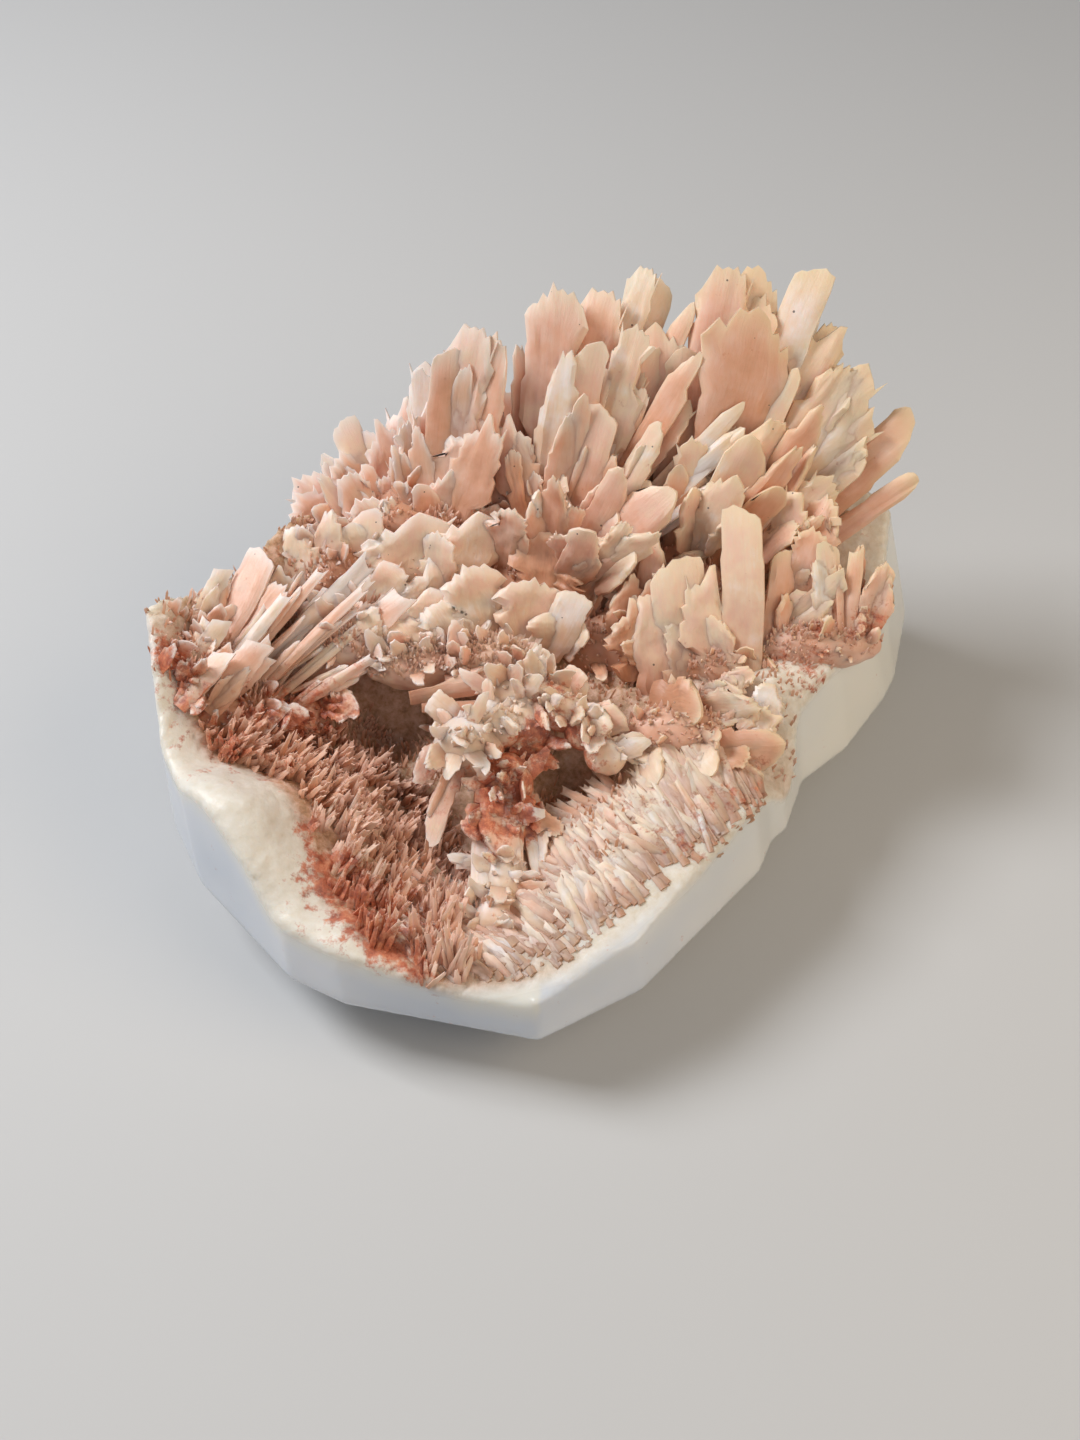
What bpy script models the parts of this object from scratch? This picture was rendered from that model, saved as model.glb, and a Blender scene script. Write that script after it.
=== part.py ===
# Mordenite on stilbite, a natural mineral specimen about 14 cm long.
# A white stilbite block, ground into broad facets outside and broken open on top,
# carries a crest of stilbite blades, smaller groups of blades, a spur and a needle crust.
# Sizes in the tables are millimetres and degrees. The front is -Y and up is +Z.
# The origin lies on the small flat spot that the specimen rests on.

import math
import random

import bmesh
import bpy
from mathutils import Matrix, Vector, noise

MM = 0.001
CLEARANCE = 0.3          # gap between neighbouring nodes
LIFT = 0.4               # upright gap over the broken top, which slopes
MERGE = 0.001            # points closer than this are one

# The ground block
GIRDLE = 13.0            # height where the block is widest
HEEL = 7.0               # height where the underside turns in to the rest spot
UNDER_DIP = 33           # how far the ground facets turn under below the girdle
SOLE_DIP = 71            # how far they turn under below the heel
BLOCK_TOP = 62.0         # top of the blocks before the broken top is cut
UNCUT_SIZE = 400.0       # side of the cube that a block is cut from

# The broken top: a tilted level with soft hills and hollows
LEVEL = 31.5
LEVEL_X = 0.02
LEVEL_Y = 0.19
ROUGHNESS = 1.0          # height of its small bumps
BUMP_SIZE = 6.0          # their width
GRID_CELL = 6.0          # size of its facets
TOP_AREA = (-78.0, -66.0, 82.0, 69.0)   # lowest x and y, highest x and y
CUT_TOP = 150.0          # the slab that cuts the base reaches up to here
GROUND_BOTTOM = -60.0    # the slab that cuts the blades reaches down to here

# Blades
CREST_ROOT = 15.0        # where crest blades start, from their growth centre
BLADE_FLATNESS = 0.36    # thickness over width
THINNEST = 1.5
THICKEST = 3.4
NARROW_BLADE = 5.3       # narrower blades have four sides and not six
WIDE_BLADE = 7.0         # wider blades are sheaves of strands
STRAND_SPREAD = 3.0      # degrees that the outer strands lean apart
STRAND_STEP = 0.8        # their spacing, as a share of the width
STRAND_OVERLAP = 1.3     # their width over an equal share of the width
STRAND_OFFSET = 0.3      # every second strand stands forward by this
STRAND_ROLL = (5, 12)    # degrees that a strand turns about its axis
STRAND_SHORTER = (0.04, 0.2)   # share that the outer strands are shorter
BLADE_TURN = 24          # most degrees that a blade turns about its axis
ROOT_SECTION = (0.75, 0.8)     # width and thickness left at the root
SHOULDER = 0.72          # share of the length where a blade is widest
FACING = Vector((0.0, -0.64, 0.77))   # broad faces look to the front and up

# Root lumps
SMALL_LUMP = 9.5         # lumps up to this half size have fewer faces
LUMP_BUMPS = 0.09        # height of their bumps over their size
LUMP_GRAIN = 2.2         # bumps along a lump

# The needle crust
CRUST_THICKNESS = 1.6
CRUST_BOTTOM = -10.0     # before the ground is cut away
NEEDLE_LENGTH = (3.0, 6.5)
NEEDLE_LEAN = 0.6        # towards the middle of the hollow
NEEDLE_CHANCE = 0.12     # random lean in each direction

SEED = 11

# Ground facets of the three blocks: azimuth of the facet, its distance from the origin
# at the girdle and how far it leans in, from -X round the front to the back.
FRONT_BLOCK = [
    (192, 63.8, 3), (207, 61.2, 4), (222, 57.8, 8), (243, 55.4, 12), (258, 51.8, 14),
    (299, 46.2, 14), (318, 41.5, 14), (337, 42.3, 12), (10, 46.0, 10), (90, 53.2, 7),
    (112, 56.5, 3), (135, 54.8, 0),
]
CORNER_BLOCK = [(311, 36.9, 13), (340, 44.0, 13), (0, 49.0, 12), (60, 40.0, 12), (180, -8.0, 8)]
RIGHT_BLOCK = [
    (311, 31.5, 14), (324.5, 41.2, 14), (333, 48.3, 15), (345, 57.6, 15), (0, 70.0, 15),
    (45, 79.0, 12), (88, 54.5, 7), (180, -11.3, 8),
]

# Hills and hollows of the broken top: centre x and y, reach in x and y, change of height
RELIEF = [
    (-66, 8, 9, 24, 12),       # left rim
    (-50, 34, 13, 12, 8),      # back-left rim
    (-50, -23, 12, 12, 9),     # left-front rim
    (-27, -42, 14, 10, 3),     # front rim
    (-40, -2, 15, 12, -7),     # slope from the left shelf
    (-13, -20, 17, 20, -17),   # the hollow
    (-25, 7, 13, 9, -13),      # left cavity under the crest
    (6, -4, 8, 9, -13),        # right cavity beside the spur
    (46, -7, 13, 9, -11),      # front-right corner
    (20, -17, 12, 10, -2),     # combed slope
    (5, 20, 40, 18, -9),       # seat of the crest
    (40, 4, 8, 6, 4),          # white knob on the right ledge
]

# Root lumps of the crest: middle, half sizes
ROOT_LUMPS = [
    ((-20, 37, 24), (18, 14, 15)),
    ((3, 36, 25), (19, 16, 15)),
    ((27, 36, 25), (21, 16, 15)),
    ((-7, 20, 24), (13, 8, 8)),
    ((20, 19, 25), (18, 8, 8)),
    ((32, 12, 27), (10, 6, 7)),
    ((-37, 31, 35), (8, 9, 6)),
    ((-24, 44, 38), (15, 9, 7)),
    ((4, 48, 39), (18, 8, 7)),
    ((34, 46, 39), (18, 8, 7)),
]

# Growth centres of the crest
CENTRE_A = (-20, 30, 22)
CENTRE_B = (0, 28, 24)
CENTRE_C = (24, 26, 24)

# Crest blades: heading (0 is back, 90 is right), rise, reach from the centre, width, tip
LEFT_FAN = [
    (11, 64, 49, 5.1, "slant"), (23, 63, 54, 8.5, "blunt"), (36, 61, 53, 5.8, "point"),
    (43, 67, 41, 5.4, "blunt"), (-26, 53, 37, 4.7, "slant"), (-36, 48, 38, 4.7, "blunt"),
    (-13, 56, 36, 3.6, "point"), (-1, 66, 35, 4.1, "slant"), (-64, 50, 33, 3.7, "slant"),
    (-76, 48, 27, 3.7, "point"), (-63, 62, 27, 5.1, "blunt"),
    (-30, 42, 37, 5.0, "slant"), (-8, 44, 40, 5.6, "point"),
    (14, 46, 42, 5.0, "slant"), (4, 54, 46, 4.6, "blunt"),
]
MIDDLE_FAN = [
    (7, 60, 58, 7.4, "slant"), (20, 59, 59, 8.2, "blunt"), (29, 55, 65, 4.6, "blunt"),
    (31, 51, 62, 6.5, "blunt"), (43, 52, 61, 3.7, "point"), (-8, 56, 48, 4.1, "blunt"),
    (11, 65, 48, 6.1, "point"), (21, 62, 50, 5.8, "slant"), (42, 58, 45, 3.4, "point"),
    (53, 53, 55, 4.4, "point"), (44, 53, 53, 4.1, "slant"), (69, 46, 53, 3.2, "point"),
    (73, 45, 50, 3.4, "point"), (18, 68, 39, 4.1, "point"), (38, 65, 40, 5.1, "blunt"),
    (73, 63, 33, 5.1, "slant"), (86, 53, 36, 5.8, "slant"), (102, 53, 32, 4.6, "point"),
    (-20, 66, 38, 4.2, "slant"), (40, 80, 30, 4.4, "point"), (120, 68, 27, 4.4, "slant"),
    (-16, 43, 46, 5.4, "blunt"), (4, 42, 46, 5.6, "slant"), (24, 42, 48, 5.6, "point"),
    (12, 50, 50, 5.6, "slant"), (-26, 52, 42, 4.6, "point"),
]
RIGHT_FAN = [
    (14, 56, 65, 7.8, "blunt"), (23, 55, 63, 6.8, "slant"), (36, 53, 66, 5.8, "blunt"),
    (49, 51, 60, 7.8, "blunt"), (53, 49, 57, 6.8, "slant"), (60, 44, 52, 6.8, "point"),
    (68, 38, 55, 5.8, "slant"), (29, 59, 56, 12.9, "blunt"), (44, 57, 50, 4.1, "point"),
    (67, 38, 50, 6.1, "point"), (60, 53, 47, 5.4, "slant"), (53, 60, 42, 6.1, "slant"),
    (49, 65, 38, 6.1, "blunt"), (56, 74, 33, 4.4, "point"), (85, 48, 34, 4.6, "slant"),
    (8, 41, 46, 5.6, "slant"), (30, 41, 48, 5.6, "blunt"), (50, 38, 48, 5.6, "point"),
    (20, 47, 54, 5.6, "slant"), (40, 45, 55, 5.6, "blunt"), (-12, 47, 48, 5.2, "slant"),
    (-5, 58, 54, 5.0, "point"),
]

# Blades with a foot of their own: foot x, y, z, heading, rise, length, width, tip
CREST_FOOT = [
    (-23, 26, 30, 5, 67, 18, 8.0, "blunt"), (-14, 27, 32, 3, 69, 16, 6.1, "blunt"),
    (-7, 15, 28, -14, 61, 17, 5.8, "slant"), (-3, 14, 28, 9, 63, 14, 6.1, "blunt"),
    (1, 14, 29, 50, 63, 13, 5.1, "slant"), (0, 23, 33, 11, 57, 13, 6.8, "blunt"),
    (-6, 29, 36, 40, 82, 14, 4.4, "point"), (6, 25, 31, 88, 52, 18, 4.6, "slant"),
    (16, 19, 29, 38, 66, 18, 4.4, "slant"), (4, 20, 28, 51, 46, 14, 3.8, "point"),
    (35, 8, 30, -4, 50, 30, 5.8, "blunt"), (26, 11, 29, -9, 49, 18, 5.8, "slant"),
    (30, 10, 30, 1, 50, 20, 5.8, "slant"), (24, 13, 31, -25, 52, 16, 3.0, "point"),
    (43, 24, 38, 44, 50, 17, 5.1, "slant"), (40, 28, 39, 70, 62, 14, 4.7, "point"),
    (-30, 28, 36, -7, 59, 11, 5.8, "blunt"), (-37, 26, 36, -6, 56, 12, 5.1, "slant"),
    (-40, 24, 35, -26, 47, 12, 4.7, "point"), (-13, 19, 29, 150, 25, 8, 5.0, "slant"),
    (-12, 16, 27, -34, 50, 13, 5.4, "point"), (14, 15, 29, 5, 62, 14, 5.0, "blunt"),
]
LEFT_BLADES = [
    (-56, 9, 34, 27, 26, 21, 6.0, "blunt"), (-59, 11, 37, 24, 25, 14, 3.6, "slant"),
    (-51, 5, 29, 48, 24, 33, 3.8, "point"), (-44, 7, 26, 61, 29, 29, 5.1, "slant"),
    (-47, 9, 29, 55, 27, 26, 2.6, "point"), (-60, -3, 35, 43, 21, 13, 4.0, "slant"),
    (-56, -2, 33, 43, 24, 16, 5.1, "blunt"), (-59, 3, 36, 35, 28, 12, 3.6, "point"),
    (-48, -1, 25, 73, 28, 10, 3.6, "slant"), (-50, -4, 27, 56, 27, 10, 3.0, "point"),
    (-38, 6, 26, 110, 12, 8, 4.4, "slant"),
]
LEFT_ROOTS = [((-53, 4, 29), (8, 8, 4)), ((-45, 6, 24), (9, 6, 5)), ((-58, 7, 34), (6, 9, 5))]
LEDGE_BLADES = [
    (39, 10, 31, 14, 47, 20, 5.1, "slant"), (42, 15, 36, 70, 34, 14, 4.0, "point"),
    (49, 11, 33, 0, 51, 19, 4.2, "blunt"), (52, 9, 33, 7, 44, 20, 3.2, "point"),
    (55, 12, 35, 16, 46, 14, 4.2, "slant"), (45, 13, 33, 8, 48, 13, 3.4, "point"),
    (57, 16, 36, 22, 43, 10, 4.0, "blunt"),
]
LEDGE_ROOTS = [((48, 13, 34), (12, 5, 4.5))]
FRONT_BLADES = [
    (19, 3, 30, 128, 22, 11, 6.8, "blunt"), (24, -4, 28, 150, 6, 10, 4.4, "point"),
    (28, -7, 28, 95, 10, 13, 5.8, "slant"), (26, 1, 31, 110, 25, 12, 5.0, "slant"),
    (33, -6, 29, 70, 22, 9, 4.4, "point"), (16, -3, 26, 160, 14, 11, 4.6, "slant"),
]
FRONT_ROOTS = [((24, -2, 28), (10, 6, 6))]
SPUR_BLADES = [
    (-12, -8, 30, 197, -38, 18, 4.0, "point"), (-12, -6, 30, 229, -18, 10, 3.6, "blunt"),
    (-5, -5, 27, 102, -12, 9, 4.6, "slant"), (-8, -13, 26, 150, -18, 17, 6.2, "slant"),
    (-20, 3, 31, 75, 2, 16, 3.0, "point"), (6, -1, 29, 128, 20, 11, 5.2, "blunt"),
    (-5, -12, 25, 175, -30, 15, 4.4, "point"), (3, 3, 31, 60, 40, 8, 4.6, "slant"),
    (-14, -3, 31, 300, 30, 8, 4.4, "slant"), (-4, 1, 31, 330, 45, 7, 4.6, "slant"),
    (8, -2, 29, 95, 35, 9, 4.6, "blunt"),
]
SPUR_ROOTS = [
    ((-11, -6, 29), (5, 5, 4.5)), ((0, 3, 31), (5.5, 4.5, 4)), ((6, -1, 27), (4.5, 4, 4.5)),
    ((-6, -9, 22), (5, 5, 8)), ((-3, -1, 25), (6, 5, 8)),
]

# The needle crust lies round the hollow between an outer and an inner line
CRUST_OUTER = [
    (-54, -8), (-47, -10), (-40, -17), (-36, -25), (-33, -34), (-25, -43), (-17, -47),
    (-6, -47), (4, -46), (13, -37), (24, -28), (36, -22.5), (42, -15),
]
CRUST_INNER = [
    (-38, 5), (-32, 4), (-27, 2), (-23, -4), (-20, -10), (-18, -16), (-11, -20),
    (-4, -22), (2, -19), (7, -16), (14, -16), (24, -17), (35, -15),
]
CRUST_COLUMNS = 26
CRUST_ROWS = 6
HOLLOW_MIDDLE = (-8, -12, 36)

# Colour, roughness and metallic value of each piece
COLOURS = {
    "stilbite_base": ((0.86, 0.87, 0.86), 0.28, 0.0),
    "blade_crest": ((0.84, 0.62, 0.53), 0.45, 0.0),
    "left_blades": ((0.85, 0.66, 0.57), 0.45, 0.0),
    "ledge_blades": ((0.78, 0.52, 0.42), 0.5, 0.0),
    "front_blades": ((0.86, 0.68, 0.58), 0.5, 0.0),
    "centre_spur": ((0.74, 0.42, 0.34), 0.5, 0.0),
    "mordenite_crust": ((0.66, 0.4, 0.32), 0.7, 0.0),
}

# Corners of a blade's section, in half widths and half thicknesses
WIDE_SECTION = [(-1, 0), (-0.72, -1), (0.72, -1), (1, 0), (0.72, 1), (-0.72, 1)]
NARROW_SECTION = [(-1, 0.1), (-0.1, -1), (1, -0.1), (0.1, 1)]

# Tip of each kind: width left, thickness left, shift to one side, slope of the end
TIPS = {
    "point": (0.22, 0.35, 0.0, 0.0),
    "slant": (0.5, 0.45, 0.22, 0.35),
    "blunt": (0.86, 0.5, 0.0, 0.1),
}


def clear_scene():
    for old in list(bpy.data.objects):
        bpy.data.objects.remove(old)


def aim(heading, rise):
    # Direction with this heading (0 is +Y, 90 is +X) and this rise above level
    turn = math.radians(heading)
    lift = math.radians(rise)
    level = math.cos(lift)
    return Vector((math.sin(turn) * level, math.cos(turn) * level, math.sin(lift)))


def relief(x, y):
    # Height of the broken top of the base
    height = LEVEL + LEVEL_X * x + LEVEL_Y * y
    for cx, cy, reach_x, reach_y, change in RELIEF:
        height += change * math.exp(-((x - cx) / reach_x) ** 2 - ((y - cy) / reach_y) ** 2)
    return height + ROUGHNESS * noise.noise(Vector((x / BUMP_SIZE, y / BUMP_SIZE, 0.5)))


def new_object(name, mesh_maker):
    # A closed object from a bmesh in millimetres
    bm = bmesh.new()
    mesh_maker(bm)
    bmesh.ops.triangulate(bm, faces=bm.faces)
    bmesh.ops.recalc_face_normals(bm, faces=bm.faces)
    mesh = bpy.data.meshes.new(name)
    bm.to_mesh(mesh)
    bm.free()
    made = bpy.data.objects.new(name, mesh)
    bpy.context.scene.collection.objects.link(made)
    return made


def ground_block(name, facets):
    # A block cut flat along each facet: a wall, a turned-under band and a sole
    def make(bm):
        bmesh.ops.create_cube(bm, size=UNCUT_SIZE)
        cuts = [(Vector((0, 0, 0)), Vector((0, 0, -1))), (Vector((0, 0, BLOCK_TOP)), Vector((0, 0, 1)))]
        heel_inset = (GIRDLE - HEEL) * math.tan(math.radians(UNDER_DIP))
        for azimuth, distance, wall_lean in facets:
            out = Vector((math.cos(math.radians(azimuth)), math.sin(math.radians(azimuth)), 0))
            girdle_point = out * distance + Vector((0, 0, GIRDLE))
            heel_point = out * (distance - heel_inset) + Vector((0, 0, HEEL))
            turns = ((girdle_point, wall_lean), (girdle_point, -UNDER_DIP), (heel_point, -SOLE_DIP))
            for point, lean in turns:
                angle = math.radians(lean)
                normal = out * math.cos(angle) + Vector((0, 0, math.sin(angle)))
                cuts.append((point, normal))
        for point, normal in cuts:
            parts = bm.verts[:] + bm.edges[:] + bm.faces[:]
            cut = bmesh.ops.bisect_plane(bm, geom=parts, plane_co=point, plane_no=normal, clear_outer=True)
            rim = [part for part in cut["geom_cut"] if isinstance(part, bmesh.types.BMEdge)]
            if rim:
                bmesh.ops.contextual_create(bm, geom=rim)
    return new_object(name, make)


def top_slab(name, lift, flat_height):
    # A solid between the broken top, raised by lift, and a level plane
    x0, y0, x1, y1 = TOP_AREA
    columns = round((x1 - x0) / GRID_CELL)
    rows = round((y1 - y0) / GRID_CELL)

    def make(bm):
        bmesh.ops.create_grid(bm, x_segments=columns, y_segments=rows, size=0.5)
        middle = Matrix.Translation(((x0 + x1) / 2, (y0 + y1) / 2, 0))
        bmesh.ops.transform(bm, matrix=middle @ Matrix.Diagonal((x1 - x0, y1 - y0, 1, 1)), verts=bm.verts)
        for vert in bm.verts:
            vert.co.z = relief(vert.co.x, vert.co.y) + lift
        walls = bmesh.ops.extrude_face_region(bm, geom=bm.faces[:], use_keep_orig=True)
        for part in walls["geom"]:
            if isinstance(part, bmesh.types.BMVert):
                part.co.z = flat_height
    return new_object(name, make)


def lump(name, middle, half_sizes):
    def make(bm):
        bmesh.ops.create_icosphere(bm, subdivisions=2 if max(half_sizes) > SMALL_LUMP else 1, radius=1)
        for vert in bm.verts:
            vert.co *= 1 + LUMP_BUMPS * noise.noise(vert.co * LUMP_GRAIN + Vector(middle))
        bmesh.ops.transform(bm, matrix=Matrix.Diagonal((*half_sizes, 1)), verts=bm.verts)
        bmesh.ops.translate(bm, vec=middle, verts=bm.verts)
    return new_object(name, make)


def blade(name, foot, axis, side, length, width, thickness, tip):
    # A flat crystal: a narrow root, full width at the shoulder, then the tip of its kind
    tip_width, tip_thickness, shift, slope = TIPS[tip]
    across = axis.cross(side)
    section = WIDE_SECTION if width > NARROW_BLADE else NARROW_SECTION
    rings = (
        (0.0, *ROOT_SECTION, 0.0, 0.0),
        (SHOULDER, 1.0, 1.0, 0.0, 0.0),
        (1.0, tip_width, tip_thickness, shift, slope),
    )

    def make(bm):
        loops = []
        for share, wide, thick, aside, tilt in rings:
            loop = []
            for u, v in section:
                out = (u * wide + aside) * width / 2
                point = foot + axis * (length * share - tilt * out) + side * out
                loop.append(bm.verts.new(point + across * (v * thick * thickness / 2)))
            loops.append(loop)
        for lower, upper in zip(loops, loops[1:]):
            for i in range(len(section)):
                j = (i + 1) % len(section)
                bm.faces.new((lower[i], lower[j], upper[j], upper[i]))
        bm.faces.new(loops[0])
        bm.faces.new(loops[-1])
    return new_object(name, make)


def sheaf(name, foot, heading, rise, length, width, tip, chance, swell=0.0):
    # One blade, or two or three strands side by side where it is wide
    axis = aim(heading, rise)
    side = axis.cross(FACING).normalized()
    side = Matrix.Rotation(math.radians(chance.uniform(-BLADE_TURN, BLADE_TURN)), 3, axis) @ side
    thickness = min(THICKEST, max(THINNEST, width * BLADE_FLATNESS))
    strands = 1 + int(width / WIDE_BLADE) + int(width / (1.4 * WIDE_BLADE))
    made = []
    for number in range(strands):
        place = (number + 0.5) / strands - 0.5
        spread = Matrix.Rotation(math.radians(STRAND_SPREAD * 2 * place), 3, axis.cross(side))
        strand_axis = spread @ axis
        roll_angle = math.radians(chance.uniform(*STRAND_ROLL) * (-1) ** number)
        roll = Matrix.Rotation(roll_angle, 3, strand_axis)
        strand_side = roll @ (axis.cross(side).cross(strand_axis))
        strand_length = length * (1 - chance.uniform(*STRAND_SHORTER) * (number != strands // 2))
        start = foot + side * (place * width * STRAND_STEP)
        start = start + axis.cross(side) * (STRAND_OFFSET * (number % 2))
        strand_width = width if strands == 1 else STRAND_OVERLAP * width / strands
        made.append(blade(
            f"{name}_{number}", start, strand_axis, strand_side.normalized(), strand_length + swell,
            strand_width + 2 * swell, thickness + 2 * swell, tip,
        ))
    return made


def crest_pieces(swell=0.0):
    # Every lump and blade of the crest, swollen a little where it is used as a cutter
    chance = random.Random(SEED)
    made = []
    for middle, half_sizes in ROOT_LUMPS:
        made.append(lump("crest_lump", middle, [half + swell for half in half_sizes]))
    for centre, fan in ((CENTRE_A, LEFT_FAN), (CENTRE_B, MIDDLE_FAN), (CENTRE_C, RIGHT_FAN)):
        for heading, rise, reach, width, tip in fan:
            start = Vector(centre) + aim(heading, rise) * CREST_ROOT
            made += sheaf("crest_blade", start, heading, rise, reach - CREST_ROOT, width, tip, chance, swell)
    return made + foot_pieces("crest_foot", CREST_FOOT, [], SEED + 1, swell)


def foot_pieces(name, rows, roots, seed, swell=0.0):
    chance = random.Random(seed)
    made = [lump(name + "_root", middle, [half + swell for half in sizes]) for middle, sizes in roots]
    for x, y, z, heading, rise, length, width, tip in rows:
        made += sheaf(name, Vector((x, y, z)), heading, rise, length, width, tip, chance, swell)
    return made


def combine(target, others, operation):
    # Join the others to the target, or cut them out of it, and remove them
    group = bpy.data.collections.new("guides")
    for other in others:
        group.objects.link(other)
    step = target.modifiers.new(operation.title(), "BOOLEAN")
    step.operation = operation
    step.operand_type = "COLLECTION"
    step.collection = group
    step.solver = "EXACT"
    shape = bpy.data.meshes.new_from_object(target.evaluated_get(bpy.context.evaluated_depsgraph_get()))
    target.modifiers.clear()
    target.data = shape
    for other in others:
        bpy.data.objects.remove(other)
    bpy.data.collections.remove(group)


def fuse(name, pieces):
    # One solid out of many overlapping ones
    combine(pieces[0], pieces[1:], "UNION")
    pieces[0].name = name
    return pieces[0]


def body_of(start):
    # All vertices that hang together with this one
    body = {start}
    waiting = [start]
    while waiting:
        for edge in waiting.pop().link_edges:
            for vert in edge.verts:
                if vert not in body:
                    body.add(vert)
                    waiting.append(vert)
    return body


def drop_offcuts(bm):
    # Keep the largest body, and remove the bits that a cut left loose
    bodies = []
    left = set(bm.verts)
    while left:
        body = body_of(next(iter(left)))
        bodies.append(body)
        left -= body
    largest = max(bodies, key=len)
    bmesh.ops.delete(bm, geom=[vert for vert in bm.verts if vert not in largest], context="VERTS")


def drop_fins(bm):
    # Remove pairs of faces that lie on the same three points, back to back
    bmesh.ops.triangulate(bm, faces=bm.faces)
    by_corners = {}
    for face in bm.faces:
        by_corners.setdefault(frozenset(face.verts), []).append(face)
    fins = [face for pair in by_corners.values() if len(pair) > 1 for face in pair]
    bmesh.ops.delete(bm, geom=fins, context="FACES")


def finish(node):
    # Clean the mesh, bring it to metres and set its material
    bm = bmesh.new()
    bm.from_mesh(node.data)
    drop_offcuts(bm)
    bmesh.ops.remove_doubles(bm, verts=bm.verts, dist=MERGE)
    drop_fins(bm)
    bmesh.ops.scale(bm, vec=(MM, MM, MM), verts=bm.verts)
    bm.to_mesh(node.data)
    bm.free()
    colour, roughness, metallic = COLOURS[node.name]
    material = bpy.data.materials.new(node.name + "_surface")
    material.use_nodes = True
    surface = material.node_tree.nodes["Principled BSDF"]
    surface.inputs["Base Color"].default_value = (*colour, 1.0)
    surface.inputs["Roughness"].default_value = roughness
    surface.inputs["Metallic"].default_value = metallic
    node.data.materials.clear()
    node.data.materials.append(material)
    node.data.shade_flat()


def build_base():
    blocks = [
        ground_block("front_block", FRONT_BLOCK),
        ground_block("corner_block", CORNER_BLOCK),
        ground_block("right_block", RIGHT_BLOCK),
    ]
    base = fuse("stilbite_base", blocks)
    combine(base, [top_slab("broken_off", 0.0, CUT_TOP)], "DIFFERENCE")
    finish(base)


def build_blades(name, pieces, neighbours):
    # A group of blades, clear of the broken top and of its neighbours
    node = fuse(name, pieces)
    combine(node, [top_slab("ground", LIFT, GROUND_BOTTOM)], "DIFFERENCE")
    if neighbours:
        combine(node, neighbours, "DIFFERENCE")
    finish(node)


def left_pieces(swell=0.0):
    return foot_pieces("left", LEFT_BLADES, LEFT_ROOTS, SEED + 2, swell)


def ledge_pieces(swell=0.0):
    return foot_pieces("ledge", LEDGE_BLADES, LEDGE_ROOTS, SEED + 3, swell)


def front_pieces(swell=0.0):
    return foot_pieces("front", FRONT_BLADES, FRONT_ROOTS, SEED + 4, swell)


def spur_pieces(swell=0.0):
    return foot_pieces("spur", SPUR_BLADES, SPUR_ROOTS, SEED + 5, swell)


def along(line, share):
    # The point at this share of a line of points
    place = share * (len(line) - 1)
    first = min(int(place), len(line) - 2)
    part = place - first
    return Vector(line[first]).lerp(Vector(line[first + 1]), part)


def crust_sheet(bm):
    # Cells between the two lines, closed below, each with a needle that leans inwards
    chance = random.Random(SEED + 6)
    grid = []
    for column in range(CRUST_COLUMNS + 1):
        outer = along(CRUST_OUTER, column / CRUST_COLUMNS)
        inner = along(CRUST_INNER, column / CRUST_COLUMNS)
        line = []
        for row in range(CRUST_ROWS + 1):
            x, y = outer.lerp(inner, row / CRUST_ROWS)
            line.append(bm.verts.new((x, y, relief(x, y) + LIFT + CRUST_THICKNESS)))
        grid.append(line)
    cells = []
    for left, right in zip(grid, grid[1:]):
        for row in range(CRUST_ROWS):
            cells.append(bm.faces.new((left[row], left[row + 1], right[row + 1], right[row])))
    walls = bmesh.ops.extrude_face_region(bm, geom=cells, use_keep_orig=True)
    for part in walls["geom"]:
        if isinstance(part, bmesh.types.BMVert):
            part.co.z = CRUST_BOTTOM
    bmesh.ops.recalc_face_normals(bm, faces=bm.faces)
    roots = [cell.calc_center_median() for cell in cells]
    tips = bmesh.ops.poke(bm, faces=cells)["verts"]
    for root, tip in zip(roots, tips):
        lean = (Vector(HOLLOW_MIDDLE) - root).normalized() * NEEDLE_LEAN + Vector((0, 0, 1))
        lean += Vector([chance.uniform(-NEEDLE_CHANCE, NEEDLE_CHANCE) for _ in range(3)])
        tip.co = root + lean.normalized() * chance.uniform(*NEEDLE_LENGTH)


def build_crust():
    crust = new_object("mordenite_crust", crust_sheet)
    combine(crust, [top_slab("ground", LIFT, GROUND_BOTTOM)], "DIFFERENCE")
    for pieces in (spur_pieces, front_pieces, left_pieces, ledge_pieces):
        combine(crust, pieces(CLEARANCE), "DIFFERENCE")
    finish(crust)


clear_scene()
build_base()
build_blades("blade_crest", crest_pieces(), [])
build_blades("left_blades", left_pieces(), crest_pieces(CLEARANCE))
build_blades("ledge_blades", ledge_pieces(), crest_pieces(CLEARANCE))
build_blades("front_blades", front_pieces(), crest_pieces(CLEARANCE))
build_blades("centre_spur", spur_pieces(), crest_pieces(CLEARANCE) + front_pieces(CLEARANCE))
build_crust()
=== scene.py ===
import math
import random

import bmesh
import bpy
import numpy as np
from mathutils import Matrix, Vector, noise
from mathutils.bvhtree import BVHTree


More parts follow.
